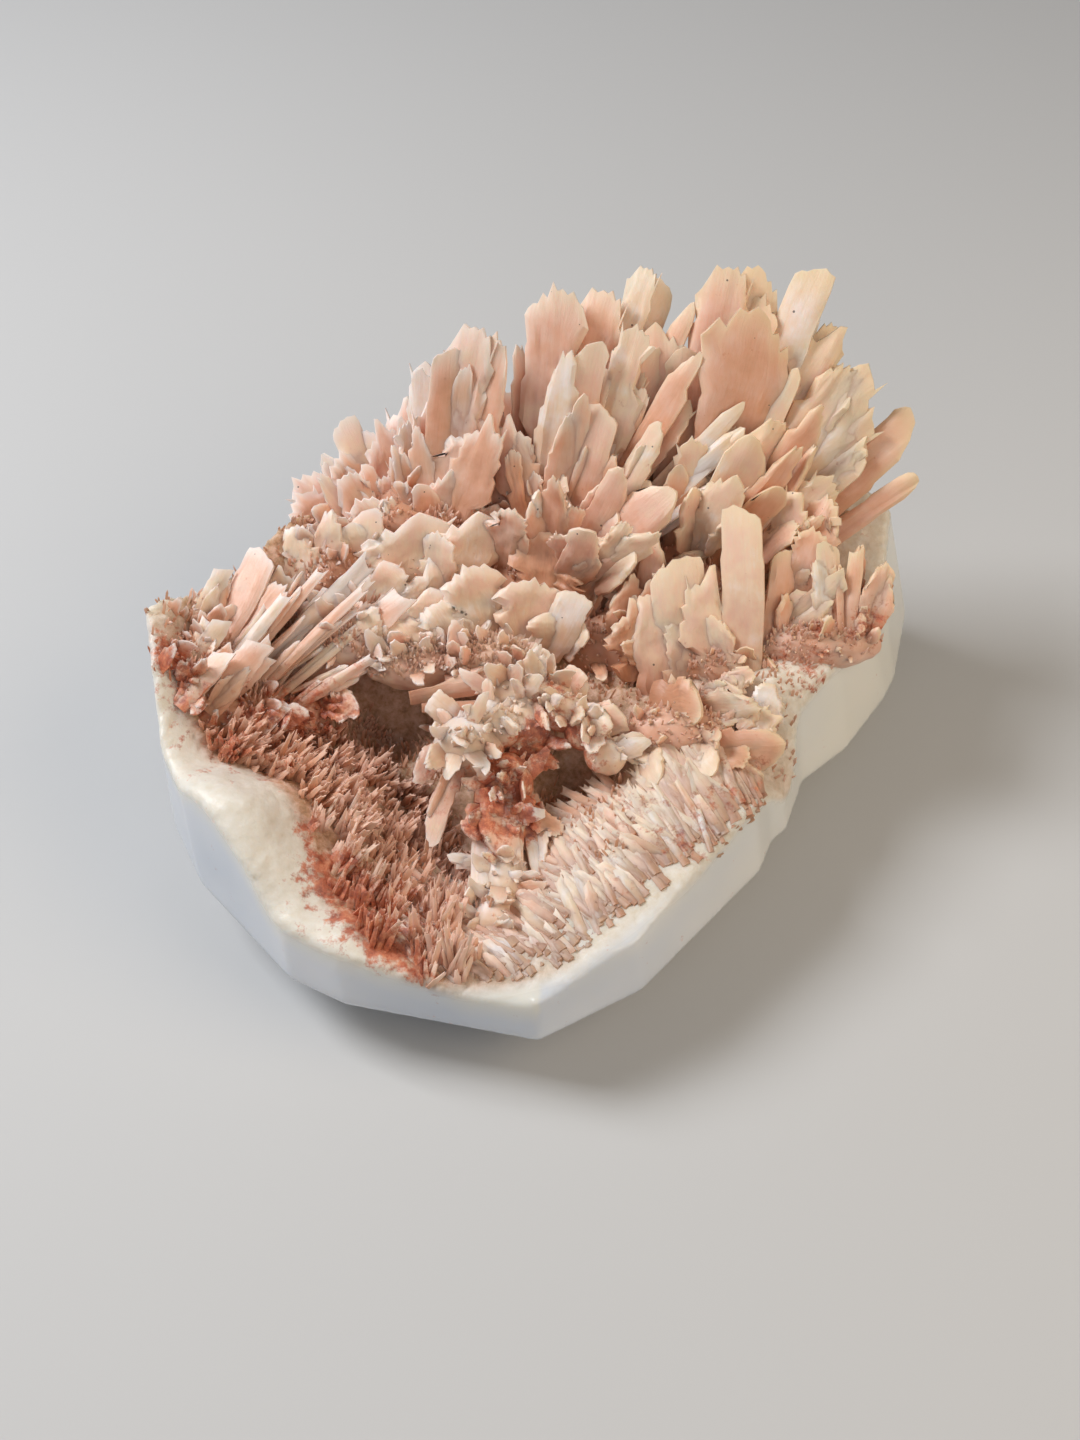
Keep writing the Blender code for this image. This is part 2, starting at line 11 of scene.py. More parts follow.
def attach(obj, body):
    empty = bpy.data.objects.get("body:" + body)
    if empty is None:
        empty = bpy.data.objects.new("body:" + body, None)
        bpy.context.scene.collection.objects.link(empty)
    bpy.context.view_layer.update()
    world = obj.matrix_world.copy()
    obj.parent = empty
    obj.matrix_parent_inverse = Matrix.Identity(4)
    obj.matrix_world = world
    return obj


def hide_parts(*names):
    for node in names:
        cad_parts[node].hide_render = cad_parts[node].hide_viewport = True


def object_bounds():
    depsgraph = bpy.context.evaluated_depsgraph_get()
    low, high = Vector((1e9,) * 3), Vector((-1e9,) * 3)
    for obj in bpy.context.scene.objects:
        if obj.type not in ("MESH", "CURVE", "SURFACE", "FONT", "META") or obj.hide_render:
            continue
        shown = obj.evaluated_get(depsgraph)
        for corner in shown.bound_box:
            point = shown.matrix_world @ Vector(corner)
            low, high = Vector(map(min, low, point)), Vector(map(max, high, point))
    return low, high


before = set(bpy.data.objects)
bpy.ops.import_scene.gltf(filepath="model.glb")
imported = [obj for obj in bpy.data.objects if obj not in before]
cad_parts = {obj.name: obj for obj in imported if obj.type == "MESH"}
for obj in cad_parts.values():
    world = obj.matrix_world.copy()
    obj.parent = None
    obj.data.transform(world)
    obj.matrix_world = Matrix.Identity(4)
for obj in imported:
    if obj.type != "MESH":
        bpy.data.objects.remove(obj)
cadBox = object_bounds()
mm = 0.001
print("frame loaded")


# small helpers
def deselectAll():
    bpy.ops.object.select_all(action="DESELECT")


def useOnly(piece):
    deselectAll()
    piece.select_set(True)
    bpy.context.view_layer.objects.active = piece


def applyAll(piece):
    useOnly(piece)
    for step in list(piece.modifiers):
        bpy.ops.object.modifier_apply(modifier=step.name)


def applyScale(piece, scale):
    useOnly(piece)
    piece.scale = scale
    bpy.ops.object.transform_apply(scale=True)


def pickVerts(piece, wanted):
    # selects these vertices in edit mode, by their number
    shape = bmesh.from_edit_mesh(piece.data)
    shape.verts.ensure_lookup_table()
    for vert in shape.verts:
        vert.select = False
    for number in wanted:
        shape.verts[number].select = True
    shape.select_flush(True)
    bmesh.update_edit_mesh(piece.data)


def aim(heading, rise):
    # direction with this heading (0 is back, 90 is right) and this rise above level
    turn, lift = math.radians(heading), math.radians(rise)
    return Vector((math.sin(turn) * math.cos(lift), math.cos(turn) * math.cos(lift), math.sin(lift)))


def scatter(chance, spread):
    # a chance step, up to spread each way
    return Vector([chance.uniform(-spread, spread) for _ in range(3)])


def readFloats(shape, name):
    values = np.zeros(len(shape.vertices), np.float32)
    shape.attributes[name].data.foreach_get("value", values)
    return values


def writeFloats(shape, name, values):
    # values is a number for each point, or one number for all of them
    if name not in shape.attributes:
        shape.attributes.new(name, "FLOAT", "POINT")
    values = np.broadcast_to(np.asarray(values, np.float32), len(shape.vertices))
    shape.attributes[name].data.foreach_set("value", np.ascontiguousarray(values))


def pointsOf(shape):
    co = np.zeros(len(shape.vertices) * 3, np.float32)
    shape.vertices.foreach_get("co", co)
    return co.reshape(-1, 3).astype(float)


# camera, floor and lights
view = {"lens": 42.0, "sensor": 36, "distance": 285, "rise": 50.0, "target": (0, 0, 28)}
camera = bpy.data.objects.new("camera", bpy.data.cameras.new("camera"))
bpy.context.scene.collection.objects.link(camera)
camera.data.lens = view["lens"]
camera.data.sensor_width = view["sensor"]
camera.data.clip_start = 0.01
camera.rotation_euler = (math.radians(90 - view["rise"]), 0, 0)
back = Vector((0, -math.cos(math.radians(view["rise"])), math.sin(math.radians(view["rise"]))))
camera.location = (Vector(view["target"]) + back * view["distance"]) * mm
bpy.context.scene.camera = camera

studio = {"floorSize": 6, "floorColour": (0.56, 0.56, 0.56, 1), "floorRough": 0.8,
          "skyColour": (0.97, 0.98, 1.0, 1), "skyPower": 0.17, "lampAim": (0, 0, 30)}
deselectAll()
bpy.ops.mesh.primitive_plane_add(size=studio["floorSize"], location=(0, 0, 0))
floor = bpy.context.object
floor.name = "floor"
floorLook = bpy.data.materials.new("paleFloor")
floorLook.use_nodes = True
floorSurface = floorLook.node_tree.nodes["Principled BSDF"].inputs
floorSurface["Base Color"].default_value = studio["floorColour"]
floorSurface["Roughness"].default_value = studio["floorRough"]
floor.data.materials.append(floorLook)

lamps = {
    "window": {"place": (-420, 120, 520), "size": 260, "power": 3.9, "colour": (0.95, 0.97, 1.0)},
    "bounce": {"place": (430, -160, 380), "size": 420, "power": 1.5, "colour": (1.0, 0.83, 0.62)},
    "front": {"place": (-60, -520, 420), "size": 480, "power": 0.45, "colour": (1.0, 0.98, 0.95)},
}
for lampName, lamp in lamps.items():
    bulb = bpy.data.lights.new(lampName, "AREA")
    bulb.size = lamp["size"] * mm
    bulb.energy = lamp["power"]
    bulb.color = lamp["colour"]
    holder = bpy.data.objects.new(lampName, bulb)
    bpy.context.scene.collection.objects.link(holder)
    holder.location = Vector(lamp["place"]) * mm
    toAim = Vector(studio["lampAim"]) - Vector(lamp["place"])
    holder.rotation_euler = toAim.to_track_quat("-Z", "Y").to_euler()
world = bpy.data.worlds.new("studio")
bpy.context.scene.world = world
world.use_nodes = True
sky = world.node_tree.nodes["Background"].inputs
sky["Color"].default_value = studio["skyColour"]
sky["Strength"].default_value = studio["skyPower"]
bpy.context.scene.view_settings.view_transform = "Standard"
print("camera, floor and lights set")

# the white block: ground facets by azimuth, distance and lean of the wall, in mm and degrees
block = {
    "girdle": 13.0, "heel": 7.0, "underDip": 33, "soleDip": 71, "top": 62.0, "voxel": 0.9,
    "front": [
        (192, 63.8, 3), (207, 61.2, 4), (222, 57.8, 8), (243, 55.4, 12), (258, 51.8, 14), (299, 46.2, 14),
        (318, 41.5, 14), (337, 42.3, 12), (10, 46.0, 10), (90, 53.2, 7), (112, 56.5, 3), (135, 54.8, 0),
    ],
    "corner": [(311, 36.9, 13), (340, 44.0, 13), (0, 49.0, 12), (60, 40.0, 12), (180, -8.0, 8)],
    "right": [
        (311, 31.5, 14), (324.5, 41.2, 14), (333, 48.3, 15), (345, 57.6, 15), (0, 70.0, 15), (45, 79.0, 12),
        (88, 54.5, 7), (180, -11.3, 8),
    ],
    # the broken top: its height and slopes, then hills and hollows by middle, reach and change of height
    "plane": (31.5, 0.02, 0.19), "grit": 6,
    "hills": [
        (-66, 8, 9, 24, 12), (-50, 34, 13, 12, 8), (-50, -23, 12, 12, 9), (-27, -42, 14, 10, 3),
        (-40, -2, 15, 12, -7), (-13, -20, 17, 20, -17), (-25, 7, 13, 9, -13), (6, -4, 8, 9, -13),
        (46, -7, 13, 9, -11), (20, -17, 12, 10, -2), (5, 20, 40, 18, -9), (40, 4, 8, 6, 4),
    ],
    # what is cut away above it
    "slabGrid": (100, 84), "slabHalf": (80, 67.5), "slabMiddle": (2, 1.5), "slabHeight": 0.12,
}


def topHeight(x, y):
    level, slopeX, slopeY = block["plane"]
    height = level + slopeX * x + slopeY * y
    for middleX, middleY, reachX, reachY, change in block["hills"]:
        height += change * math.exp(-((x - middleX) / reachX) ** 2 - ((y - middleY) / reachY) ** 2)
    return height + noise.noise(Vector((x / block["grit"], y / block["grit"], 0.5)))


def groundBlock(name, facets):
    # a cube, cut flat along each ground facet: its wall, its turned-under band and its sole
    deselectAll()
    bpy.ops.mesh.primitive_cube_add(size=0.4)
    piece = bpy.context.object
    piece.name = name
    cuts = [(Vector((0, 0, 0)), Vector((0, 0, -1))), (Vector((0, 0, block["top"])), Vector((0, 0, 1)))]
    inset = (block["girdle"] - block["heel"]) * math.tan(math.radians(block["underDip"]))
    for azimuth, distance, lean in facets:
        out = Vector((math.cos(math.radians(azimuth)), math.sin(math.radians(azimuth)), 0))
        girdle = out * distance + Vector((0, 0, block["girdle"]))
        heel = out * (distance - inset) + Vector((0, 0, block["heel"]))
        for point, tilt in ((girdle, lean), (girdle, -block["underDip"]), (heel, -block["soleDip"])):
            angle = math.radians(tilt)
            cuts.append((point, out * math.cos(angle) + Vector((0, 0, math.sin(angle)))))
    bpy.ops.object.mode_set(mode="EDIT")
    for point, normal in cuts:
        bpy.ops.mesh.select_all(action="SELECT")
        bpy.ops.mesh.bisect(plane_co=point * mm, plane_no=normal, use_fill=True, clear_outer=True)
    bpy.ops.object.mode_set(mode="OBJECT")
    return piece


def brokenSlab():
    # everything above the broken top, to be cut away
    deselectAll()
    columns, rows = block["slabGrid"]
    bpy.ops.mesh.primitive_grid_add(x_subdivisions=columns, y_subdivisions=rows, size=2)
    slab = bpy.context.object
    slab.scale = (block["slabHalf"][0] * mm, block["slabHalf"][1] * mm, 1)
    slab.location = (block["slabMiddle"][0] * mm, block["slabMiddle"][1] * mm, 0)
    bpy.ops.object.transform_apply(location=True, scale=True)
    for vert in slab.data.vertices:
        vert.co.z = topHeight(vert.co.x / mm, vert.co.y / mm) * mm
    bpy.ops.object.mode_set(mode="EDIT")
    bpy.ops.mesh.select_all(action="SELECT")
    bpy.ops.mesh.extrude_region_move(TRANSFORM_OT_translate={"value": (0, 0, block["slabHeight"])})
    bpy.ops.mesh.select_all(action="SELECT")
    bpy.ops.mesh.normals_make_consistent(inside=False)
    bpy.ops.object.mode_set(mode="OBJECT")
    return slab


def buildBlock():
    base = groundBlock("frontBlock", block["front"])
    for name, operation in (("corner", "UNION"), ("right", "UNION"), ("slab", "DIFFERENCE")):
        other = brokenSlab() if name == "slab" else groundBlock(name, block[name])
        useOnly(base)
        cut = base.modifiers.new(name, "BOOLEAN")
        cut.operation = operation
        cut.solver = "EXACT"
        cut.object = other
        bpy.ops.object.modifier_apply(modifier=name)
        bpy.data.objects.remove(other)
    even = base.modifiers.new("even", "REMESH")
    even.mode = "VOXEL"
    even.voxel_size = block["voxel"] * mm
    soft = base.modifiers.new("soft", "SMOOTH")
    soft.factor = 0.5
    soft.iterations = 3
    applyAll(base)
    base.name = "polishedBlock"
    return base


whiteBlock = buildBlock()
print("block made:", len(whiteBlock.data.vertices), "points")

# the turf of needles lies round the hollow between an outer and an inner line
turf = {
    "outer": [
        (-57, -4), (-54, -9), (-47, -10), (-40, -17), (-36, -25), (-33, -34), (-25, -43), (-17, -47),
        (-6, -47), (4, -45), (13, -38), (24, -29), (36, -23), (42, -15),
    ],
    "inner": [
        (-44, 3), (-38, 4), (-32, 3), (-27, 0), (-22, -6), (-18, -12), (-14, -18), (-10, -22), (-4, -23),
        (2, -20), (7, -16), (14, -14), (24, -15), (35, -13),
    ],
    "clumps": 230, "clumpsUpTo": 0.58, "perClump": (6, 11), "length": (4.5, 9.5), "width": (0.6, 1.4),
    "thick": 0.6, "lean": (0.4, 1.0), "spread": 0.42, "focus": (-8, -10, 34),
    "ribs": 760, "ribsFrom": 0.52, "ribLength": (8, 17), "ribWidth": (1.1, 2.4), "ribHeading": (127, 9),
}

# rust, by place, reach and strength
rustSpots = [
    (-54, -13, 35, 5, 1.0), (-55, -8, 36, 4, 1.0), (-63, 3, 37, 8, 1.0), (-66, 0, 32, 8, 0.9),
    (-48, -2, 28, 7, 0.7), (-50, -11, 34, 4, 0.8), (-43, -14, 31, 4, 0.7), (-37, -22, 29, 4, 0.8),
    (-34, -31, 26, 4, 1.0), (-32, -35, 25, 6, 0.9), (-28, -40, 23, 6, 1.0), (-23, -43, 22, 5, 1.0),
    (-21, -46, 21, 4, 0.9), (-34, -29, 27, 6, 0.8), (-28, -31, 20, 6, 0.6), (-24, -34, 16, 7, 0.8),
    (-17, -36, 14, 6, 0.7), (-9, -19, 24, 6, 0.9), (-4, -14, 24, 5, 0.8), (2, 2, 32, 5, 0.8),
    (8, -6, 29, 5, 0.6), (16, -20, 27, 6, 0.55), (24, -24, 26, 5, 0.5), (31, -16, 28, 6, 0.6),
    (12, -30, 23, 4, 0.4), (46, 6, 33, 6, 0.5), (50, 13, 35, 6, 0.4), (40, 11, 32, 4, 0.4),
    (1, -4, 29, 4, 1.0), (-3, -8, 27, 5, 1.0), (5, -8, 27, 4, 0.9), (-12, -2, 31, 3, 0.7),
    (-8, -11, 28, 3, 0.9), (-4, -17, 22, 5, 0.8), (-30, 10, 33, 3, 0.5), (-17, 8, 33, 3, 0.4),
    (56, 14, 37, 4, 0.8), (60, 18, 38, 2.5, 1.0), (-40, 3, 27, 7, 0.7), (-33, 3, 26, 6, 0.6),
    (-18, -12, 27, 4, 0.6), (26, 0, 30, 5, 0.5), (37, -10, 29, 4, 0.5),
]

# zones of the block, by middle and reach in x and y, with the depths in mm over which they fade
zones = {
    "ledge": [(47, 4, 14, 10), (60, 36, 9, 17)], "slope": [(14, -36, 22, 15), (34, -18, 12, 10)],
    "corner": [(-66, 13, 6, 6)],
    "brokenDepth": 2.2, "brokenFade": 1.2, "creamDepth": 5, "creamFade": 4, "lift": 0.45, "liftGrain": 900,
}


def rustAt(co):
    rust = np.zeros(len(co))
    for x, y, z, reach, strength in rustSpots:
        away = ((co - np.array((x, y, z)) * mm) ** 2).sum(1) / (reach * mm) ** 2
        rust += strength * np.exp(-away)
    return np.clip(rust, 0, 1)


def outsideTurf(x, y):
    # how far a point lies outside the turf's outer line, in mm
    line = turf["outer"]
    best, side = 1e9, -1
    for (ax, ay), (bx, by) in zip(line, line[1:]):
        dx, dy = bx - ax, by - ay
        share = min(1, max(0, ((x - ax) * dx + (y - ay) * dy) / (dx * dx + dy * dy)))
        away = math.hypot(x - ax - dx * share, y - ay - dy * share)
        if away < best:
            best, side = away, 1 if dx * (y - ay) - dy * (x - ax) < 0 else -1
    return best * side


def fade(values, start, over):
    # 0 up to start, then rising to 1
    return np.clip((values - start) / over, 0, 1)


def zoneAt(name, x, y):
    # how strong a zone is at these points
    return sum(np.exp(-(((x - middleX) / reachX) ** 2 + ((y - middleY) / reachY) ** 2))
               for middleX, middleY, reachX, reachY in zones[name])


def zoneBlock():
    shape = whiteBlock.data
    co = pointsOf(shape)
    x, y, z = co.T / mm
    aboveTop = z - np.array([topHeight(a, b) for a, b in zip(x, y)])
    broken = fade(aboveTop, -zones["brokenDepth"], zones["brokenFade"])
    normals = np.zeros(len(co) * 3, np.float32)
    shape.vertices.foreach_get("normal", normals)
    normals = normals.reshape(-1, 3)
    broken *= np.clip((normals[:, 2] + 0.1) * 3, 0, 1)
    # outside the turf's outer line the rim is pale, and in front it is polished up to the turf
    rim = np.array([outsideTurf(a, b) for a, b in zip(x, y)])
    front = fade(x, -24, 14) * fade(-y, 8, 8)
    broken *= 1 - fade(rim, 0, 3) * (0.45 + 0.55 * front)
    band = fade(rim, 0, 2.5) * fade(-y, -8, 8)
    slope = zoneAt("slope", x, y)
    pale = np.clip(band + zoneAt("corner", x, y), 0, 1)
    nearTop = fade(aboveTop, -zones["creamDepth"], zones["creamFade"])
    cream = pale * 0.7 * (x < 0) * nearTop + np.minimum(fade(x, 15, 45), 0.8) + 0.25 * slope * nearTop
    writeFloats(shape, "broken", broken)
    writeFloats(shape, "pale", np.clip(pale + 1.4 * zoneAt("ledge", x, y) + 1.2 * slope, 0, 1))
    writeFloats(shape, "cream", np.clip(cream, 0, 1))
    writeFloats(shape, "rust", rustAt(co) * broken)
    # rough crystals on the broken parts
    rough = np.array([noise.fractal(Vector(p) * zones["liftGrain"], 0.7, 2.1, 3) for p in co.tolist()])
    lift = (broken * zones["lift"] * rough * mm)[:, None] * normals
    shape.vertices.foreach_set("co", (co + lift).astype(np.float32).ravel())
    shape.update()
    shape.shade_smooth()


zoneBlock()
ground = BVHTree.FromObject(whiteBlock, bpy.context.evaluated_depsgraph_get())
print("zones set")


def groundAt(x, y):
    # the height of the block's top in mm
    hit = ground.ray_cast(Vector((x * mm, y * mm, 0.2)), Vector((0, 0, -1)))
    return hit[0].z / mm if hit[0] else 0.0


# crystal shapes, each modelled once and copied: columns and rows, widths at root, middle and tip,
# and the outline's steps, teeth, crown and lean, in widths
plateShapes = {
    "pillar": {"grid": (7, 10), "widths": (0.85, 1.0, 0.9), "outline": (0.06, 0.05, 0.15, 0.1)},
    "chisel": {"grid": (8, 14), "widths": (0.6, 1.0, 0.55), "outline": (0.12, 0.08, 0.4, 0.4)},
    "spike": {"grid": (5, 10), "widths": (0.85, 1.0, 0.5), "outline": (0.08, 0.06, 0.4, 0.1)},
    "comb": {"grid": (11, 15), "widths": (0.55, 1.0, 0.85), "outline": (0.24, 0.14, 0.25, 0.15)},
    "fan": {"grid": (12, 14), "widths": (0.45, 0.95, 1.0), "outline": (0.18, 0.12, 0.3, 0.0)},
    "flap": {"grid": (8, 10), "widths": (0.65, 1.0, 0.8), "outline": (0.14, 0.05, 0.45, -0.15)},
    "strip": {"grid": (4, 9), "widths": (0.85, 1.0, 0.75), "outline": (0.06, 0.05, 0.15, 0.2)},
    "rib": {"grid": (3, 5), "widths": (0.8, 1.0, 0.55), "outline": (0.12, 0.1, 0.5, 0.2)},
    "tuft": {"grid": (3, 3), "widths": (0.8, 1.0, 0.4), "outline": (0.25, 0.3, 0.9, 0.2)},
    "needle": {"grid": (1, 2), "widths": (0.9, 1.0, 0.15), "outline": (0.0, 0.0, 0.0, 0.0)},
}


def brokenLine(chance, count, step, tooth):
    # a torn outline: level runs of a few points with a small tooth on every second one
    line, level, left = [], 0.0, 0
    for number in range(count):
        if left <= 0:
            level, left = chance.uniform(-1, 1) * step, chance.randint(2, 4)
        left -= 1
        line.append(level + (number % 2) * chance.uniform(0.3, 1.3) * tooth)
    return line


def widthAt(widths, share):
    # the width of a plate at this share of its length
    root, middle, tip = widths
    if share < 0.55:
        return root + (middle - root) * (share / 0.55) ** 0.8
    return middle + (tip - middle) * ((share - 0.55) / 0.45) ** 1.8


def modelPlate(name, look, seed):
    # a crystal plate, 1 wide along X, 1 long along Y and about 1 thick along Z
    chance = random.Random(seed)
    columns, rows = look["grid"]
    steps, teeth, crown, lean = look["outline"]
    deselectAll()
    bpy.ops.mesh.primitive_grid_add(x_subdivisions=columns, y_subdivisions=rows, size=1, location=(0, 0.5, 0))
    plate = bpy.context.object
    plate.name = name
    bpy.ops.object.transform_apply(location=True)
    count = len(plate.data.vertices)
    along = np.array([v.co.y for v in plate.data.vertices])
    across = np.array([v.co.x for v in plate.data.vertices]) * 2
    border = (np.abs(across) > 0.99) | (along > 0.99)
    near = (np.abs(across) > 1 - 2.5 / columns) | (along > 1 - 1.5 / rows)
    writeFloats(plate.data, "along", along)
    writeFloats(plate.data, "edge", np.where(border, 1.0, np.where(near, 0.4, 0.0)))
    for label in ("tint", "rust"):
        writeFloats(plate.data, label, 0.0)
    body = plate.vertex_groups.new(name="body")
    for number in range(count):
        body.add([number], 0.3 if border[number] else (0.8 if near[number] else 1.0), "REPLACE")
    bpy.ops.object.mode_set(mode="EDIT")
    # torn sides: each half of a row is made wider or narrower, and odd rows end a little higher
    sides = [brokenLine(chance, rows + 1, steps * 0.7, teeth * 0.6) for _ in (0, 1)]
    middle = (columns + 1) // 2
    for row in range(rows + 1):
        share = row / rows
        width = widthAt(look["widths"], share)
        first = row * (columns + 1)
        for side, half in ((0, range(middle)), (1, range(middle, columns + 1))):
            pickVerts(plate, [first + column for column in half])
            widen = (width + 2 * sides[side][row], 1, 1)
            bpy.ops.transform.resize(value=widen, center_override=(0, 0, 0))
        if row % 2:
            pickVerts(plate, [first, first + columns])
            bpy.ops.transform.translate(value=(0, 0.5 / rows, 0))
        pickVerts(plate, range(first, first + columns + 1))
        swayX = 0.05 * math.sin(2.4 * share + seed) + 0.2 * lean * share ** 2
        bpy.ops.transform.translate(value=(swayX, 0, 0.15 * math.sin(2 * share + seed * 2)))
    # a torn tip, and lengthwise ridges
    top = brokenLine(chance, columns + 1, steps, teeth)
    tips = np.zeros(count)
    for column in range(columns + 1):
        place = 2 * column / columns - 1
        tips[column::columns + 1] = top[column] + lean * place - crown * place ** 2
        if 0 < column < columns:
            pickVerts(plate, [row * (columns + 1) + column for row in range(rows + 1)])
            bpy.ops.transform.translate(value=(0, 0, chance.uniform(-0.05, 0.05)))
    bpy.ops.object.mode_set(mode="OBJECT")
    # the outline of the tip is kept apart, in widths, so that it isn't stretched with the blade
    writeFloats(plate.data, "tip", (tips - tips.max()) * along ** 1.6)
    # the wall is added to a flattened plate, so that its shells don't fold over
    applyScale(plate, (1, 1, 0.05))
    wall = plate.modifiers.new("wall", "SOLIDIFY")
    wall.thickness = 0.05
    wall.offset = 0
    wall.vertex_group = "body"
    applyAll(plate)
    applyScale(plate, (1, 1, 20))
    longest = max(vert.co.y for vert in plate.data.vertices)
    for vert in plate.data.vertices:
        vert.co.y /= longest
        vert.co.z += 0.22 * noise.fractal(Vector((vert.co.x * 2.5, vert.co.y * 5, seed)), 0.8, 2, 3)
    # the sharp edges are found at the proportions of a real blade
    applyScale(plate, (1, 4, 0.3))
    plate.data.shade_smooth()
    bpy.ops.object.shade_smooth_by_angle(angle=math.radians(35))
    applyScale(plate, (1, 0.25, 1 / 0.3))
    plate.vertex_groups.clear()
    plate.hide_render = True
    return plate


plates = {}
for number, (plateName, plateLook) in enumerate(plateShapes.items()):
    plates[plateName] = []
    for turn in range(4 if plateName in ("comb", "flap", "chisel") else 3):
        plates[plateName].append(modelPlate(plateName + str(turn), plateLook, 7 * number + turn + 1))
print("crystal shapes made")

facing = Vector((0, -0.64, 0.77))  # the broad faces of the blades look this way, give or take


class Cluster:
    # copies of the crystal shapes that become one piece
    def __init__(self, name, seed):
        self.name = name
        self.chance = random.Random(seed)
        self.parts = []

    def plant(self, kind, start, axis, length, width, thick, tint, roll=None, bend=0.0):
        chance = self.chance
        source = chance.choice(plates[kind])
        if kind in ("comb", "fan", "flap"):
            width *= 1.2
        axis = axis.normalized()
        # blades stay inside the box of the CAD model
        for way in range(3):
            edge = cadBox[1 if axis[way] > 0 else 0][way] / mm
            if abs(axis[way]) > 0.05:
                length = max(1.0, min(length, (edge - start[way]) / axis[way]))
        side = axis.cross(facing)
        side = side.normalized() if side.length > 0.05 else axis.orthogonal().normalized()
        turn = chance.uniform(-24, 24) if roll is None else roll
        side = Matrix.Rotation(math.radians(turn), 3, axis) @ side
        if chance.random() < 0.5:
            side = -side
        normal = side.cross(axis)
        shape = source.data.copy()
        co = pointsOf(shape)
        share = co[:, 1:2]
        sx, sy, sz = (np.array(v) for v in (side, axis, normal))
        outline = readFloats(shape, "tip")[:, None] * min(width, 0.4 * length)
        placed = np.array(start) + co[:, :1] * width * sx + (share * length + outline) * sy
        placed = placed + (co[:, 2:] * thick + bend * length * share ** 2) * sz
        shape.vertices.foreach_set("co", (placed * mm).astype(np.float32).ravel())
        writeFloats(shape, "tint", tint + chance.uniform(-0.05, 0.05))
        # the UV map is in mm, each crystal on its own spot of the streaks
        uv = shape.uv_layers[0].data
        marks = np.zeros(len(uv) * 2, np.float32)
        uv.foreach_get("uv", marks)
        marks = marks.reshape(-1, 2) * (width, length) + (chance.uniform(0, 90), chance.uniform(0, 90))
        uv.foreach_set("uv", marks.astype(np.float32).ravel())
        part = bpy.data.objects.new(kind, shape)
        bpy.context.scene.collection.objects.link(part)
        self.parts.append(part)

    def bundle(self, kind, start, heading, rise, length, width, tint, extra):
        # one main plate with smaller ones grown along it
        chance = self.chance
        start = Vector(start)
        axis = aim(heading, rise)
        thick = min(2.6, max(1.2, width * 0.3))
        kinds = ("strip", "spike", "chisel") if kind in ("strip", "spike") else ("comb", "flap", "fan", kind)
        self.plant(kind, start, axis, length, width, thick, tint, bend=chance.uniform(-0.05, 0.05))
        side = axis.cross(facing).normalized()
        normal = side.cross(axis)
        for _ in range(extra):
            place = chance.uniform(-0.5, 0.5)
            lean = Matrix.Rotation(math.radians(place * 22 + chance.uniform(-7, 7)), 3, -normal) @ axis
            low = chance.uniform(0.0, 0.2)
            tall = chance.uniform(0.4, 0.88) * (1 - low)
            foot = start + axis * (low * length) + side * (place * width)
            foot += normal * chance.uniform(-0.6, 0.6) * thick
            smallKind = chance.choice(kinds)
            share = chance.uniform(0.45, 0.9)
            self.plant(smallKind, foot, lean, length * tall, width * share, thick * chance.uniform(0.5, 0.9),
                       tint + chance.uniform(-0.12, 0.1), roll=chance.uniform(-45, 45),
                       bend=chance.uniform(-0.07, 0.07))

    def gather(self, slot, *nodes):
        # joins the crystals into one piece that stands for these CAD nodes
        useOnly(self.parts[0])
        for part in self.parts:
            part.select_set(True)
        bpy.ops.object.join()
        piece = self.parts[0]
        piece.name = self.name
        piece.data.name = self.name
        writeFloats(piece.data, "rust", rustAt(pointsOf(piece.data)))
        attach(piece, "root")
        if nodes:
            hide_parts(*nodes)
        print(self.name, len(piece.data.polygons), "faces from", len(self.parts), "crystals")
        return piece


# tints run from rust brown (0) over these to white (1)
tan, peach, pink, cream, white = 0.26, 0.44, 0.58, 0.76, 0.92

# the crest: three fans of blades, by heading, rise, reach, width, shape and tint
crest = {
    "left": {"centre": (-20, 30, 22)}, "middle": {"centre": (0, 28, 24)}, "right": {"centre": (24, 26, 24)},
}
crest["left"]["blades"] = [
    (11, 64, 49, 5.1, "pillar", peach), (23, 63, 54, 8.5, "comb", pink), (36, 61, 53, 5.8, "chisel", peach),
    (21, 59, 42, 2.8, "spike", peach), (43, 67, 41, 5.4, "comb", peach), (-26, 53, 37, 5.4, "comb", peach),
    (-36, 48, 38, 5.2, "pillar", cream), (-13, 56, 36, 4.2, "spike", peach),
    (-1, 66, 35, 4.6, "chisel", pink), (9, 67, 30, 2.6, "spike", pink), (-64, 50, 33, 4.4, "chisel", cream),
    (-76, 48, 27, 4.2, "spike", pink), (-63, 62, 27, 5.4, "comb", cream), (-30, 42, 37, 5.4, "chisel", pink),
    (-8, 44, 40, 6.2, "comb", peach), (14, 46, 42, 6.0, "chisel", tan), (4, 54, 46, 5.4, "comb", white),
    (-45, 56, 30, 4.6, "chisel", peach), (-20, 62, 31, 4.6, "comb", peach),
    (-52, 44, 33, 4.6, "spike", pink), (0, 58, 44, 5.0, "chisel", white), (-84, 40, 30, 6.0, "comb", pink),
    (-70, 38, 33, 7.0, "comb", peach), (-57, 37, 35, 7.0, "comb", pink), (-46, 46, 34, 6.0, "comb", peach),
    (-90, 52, 26, 6.0, "comb", cream), (-58, 57, 31, 6.0, "comb", peach),
]
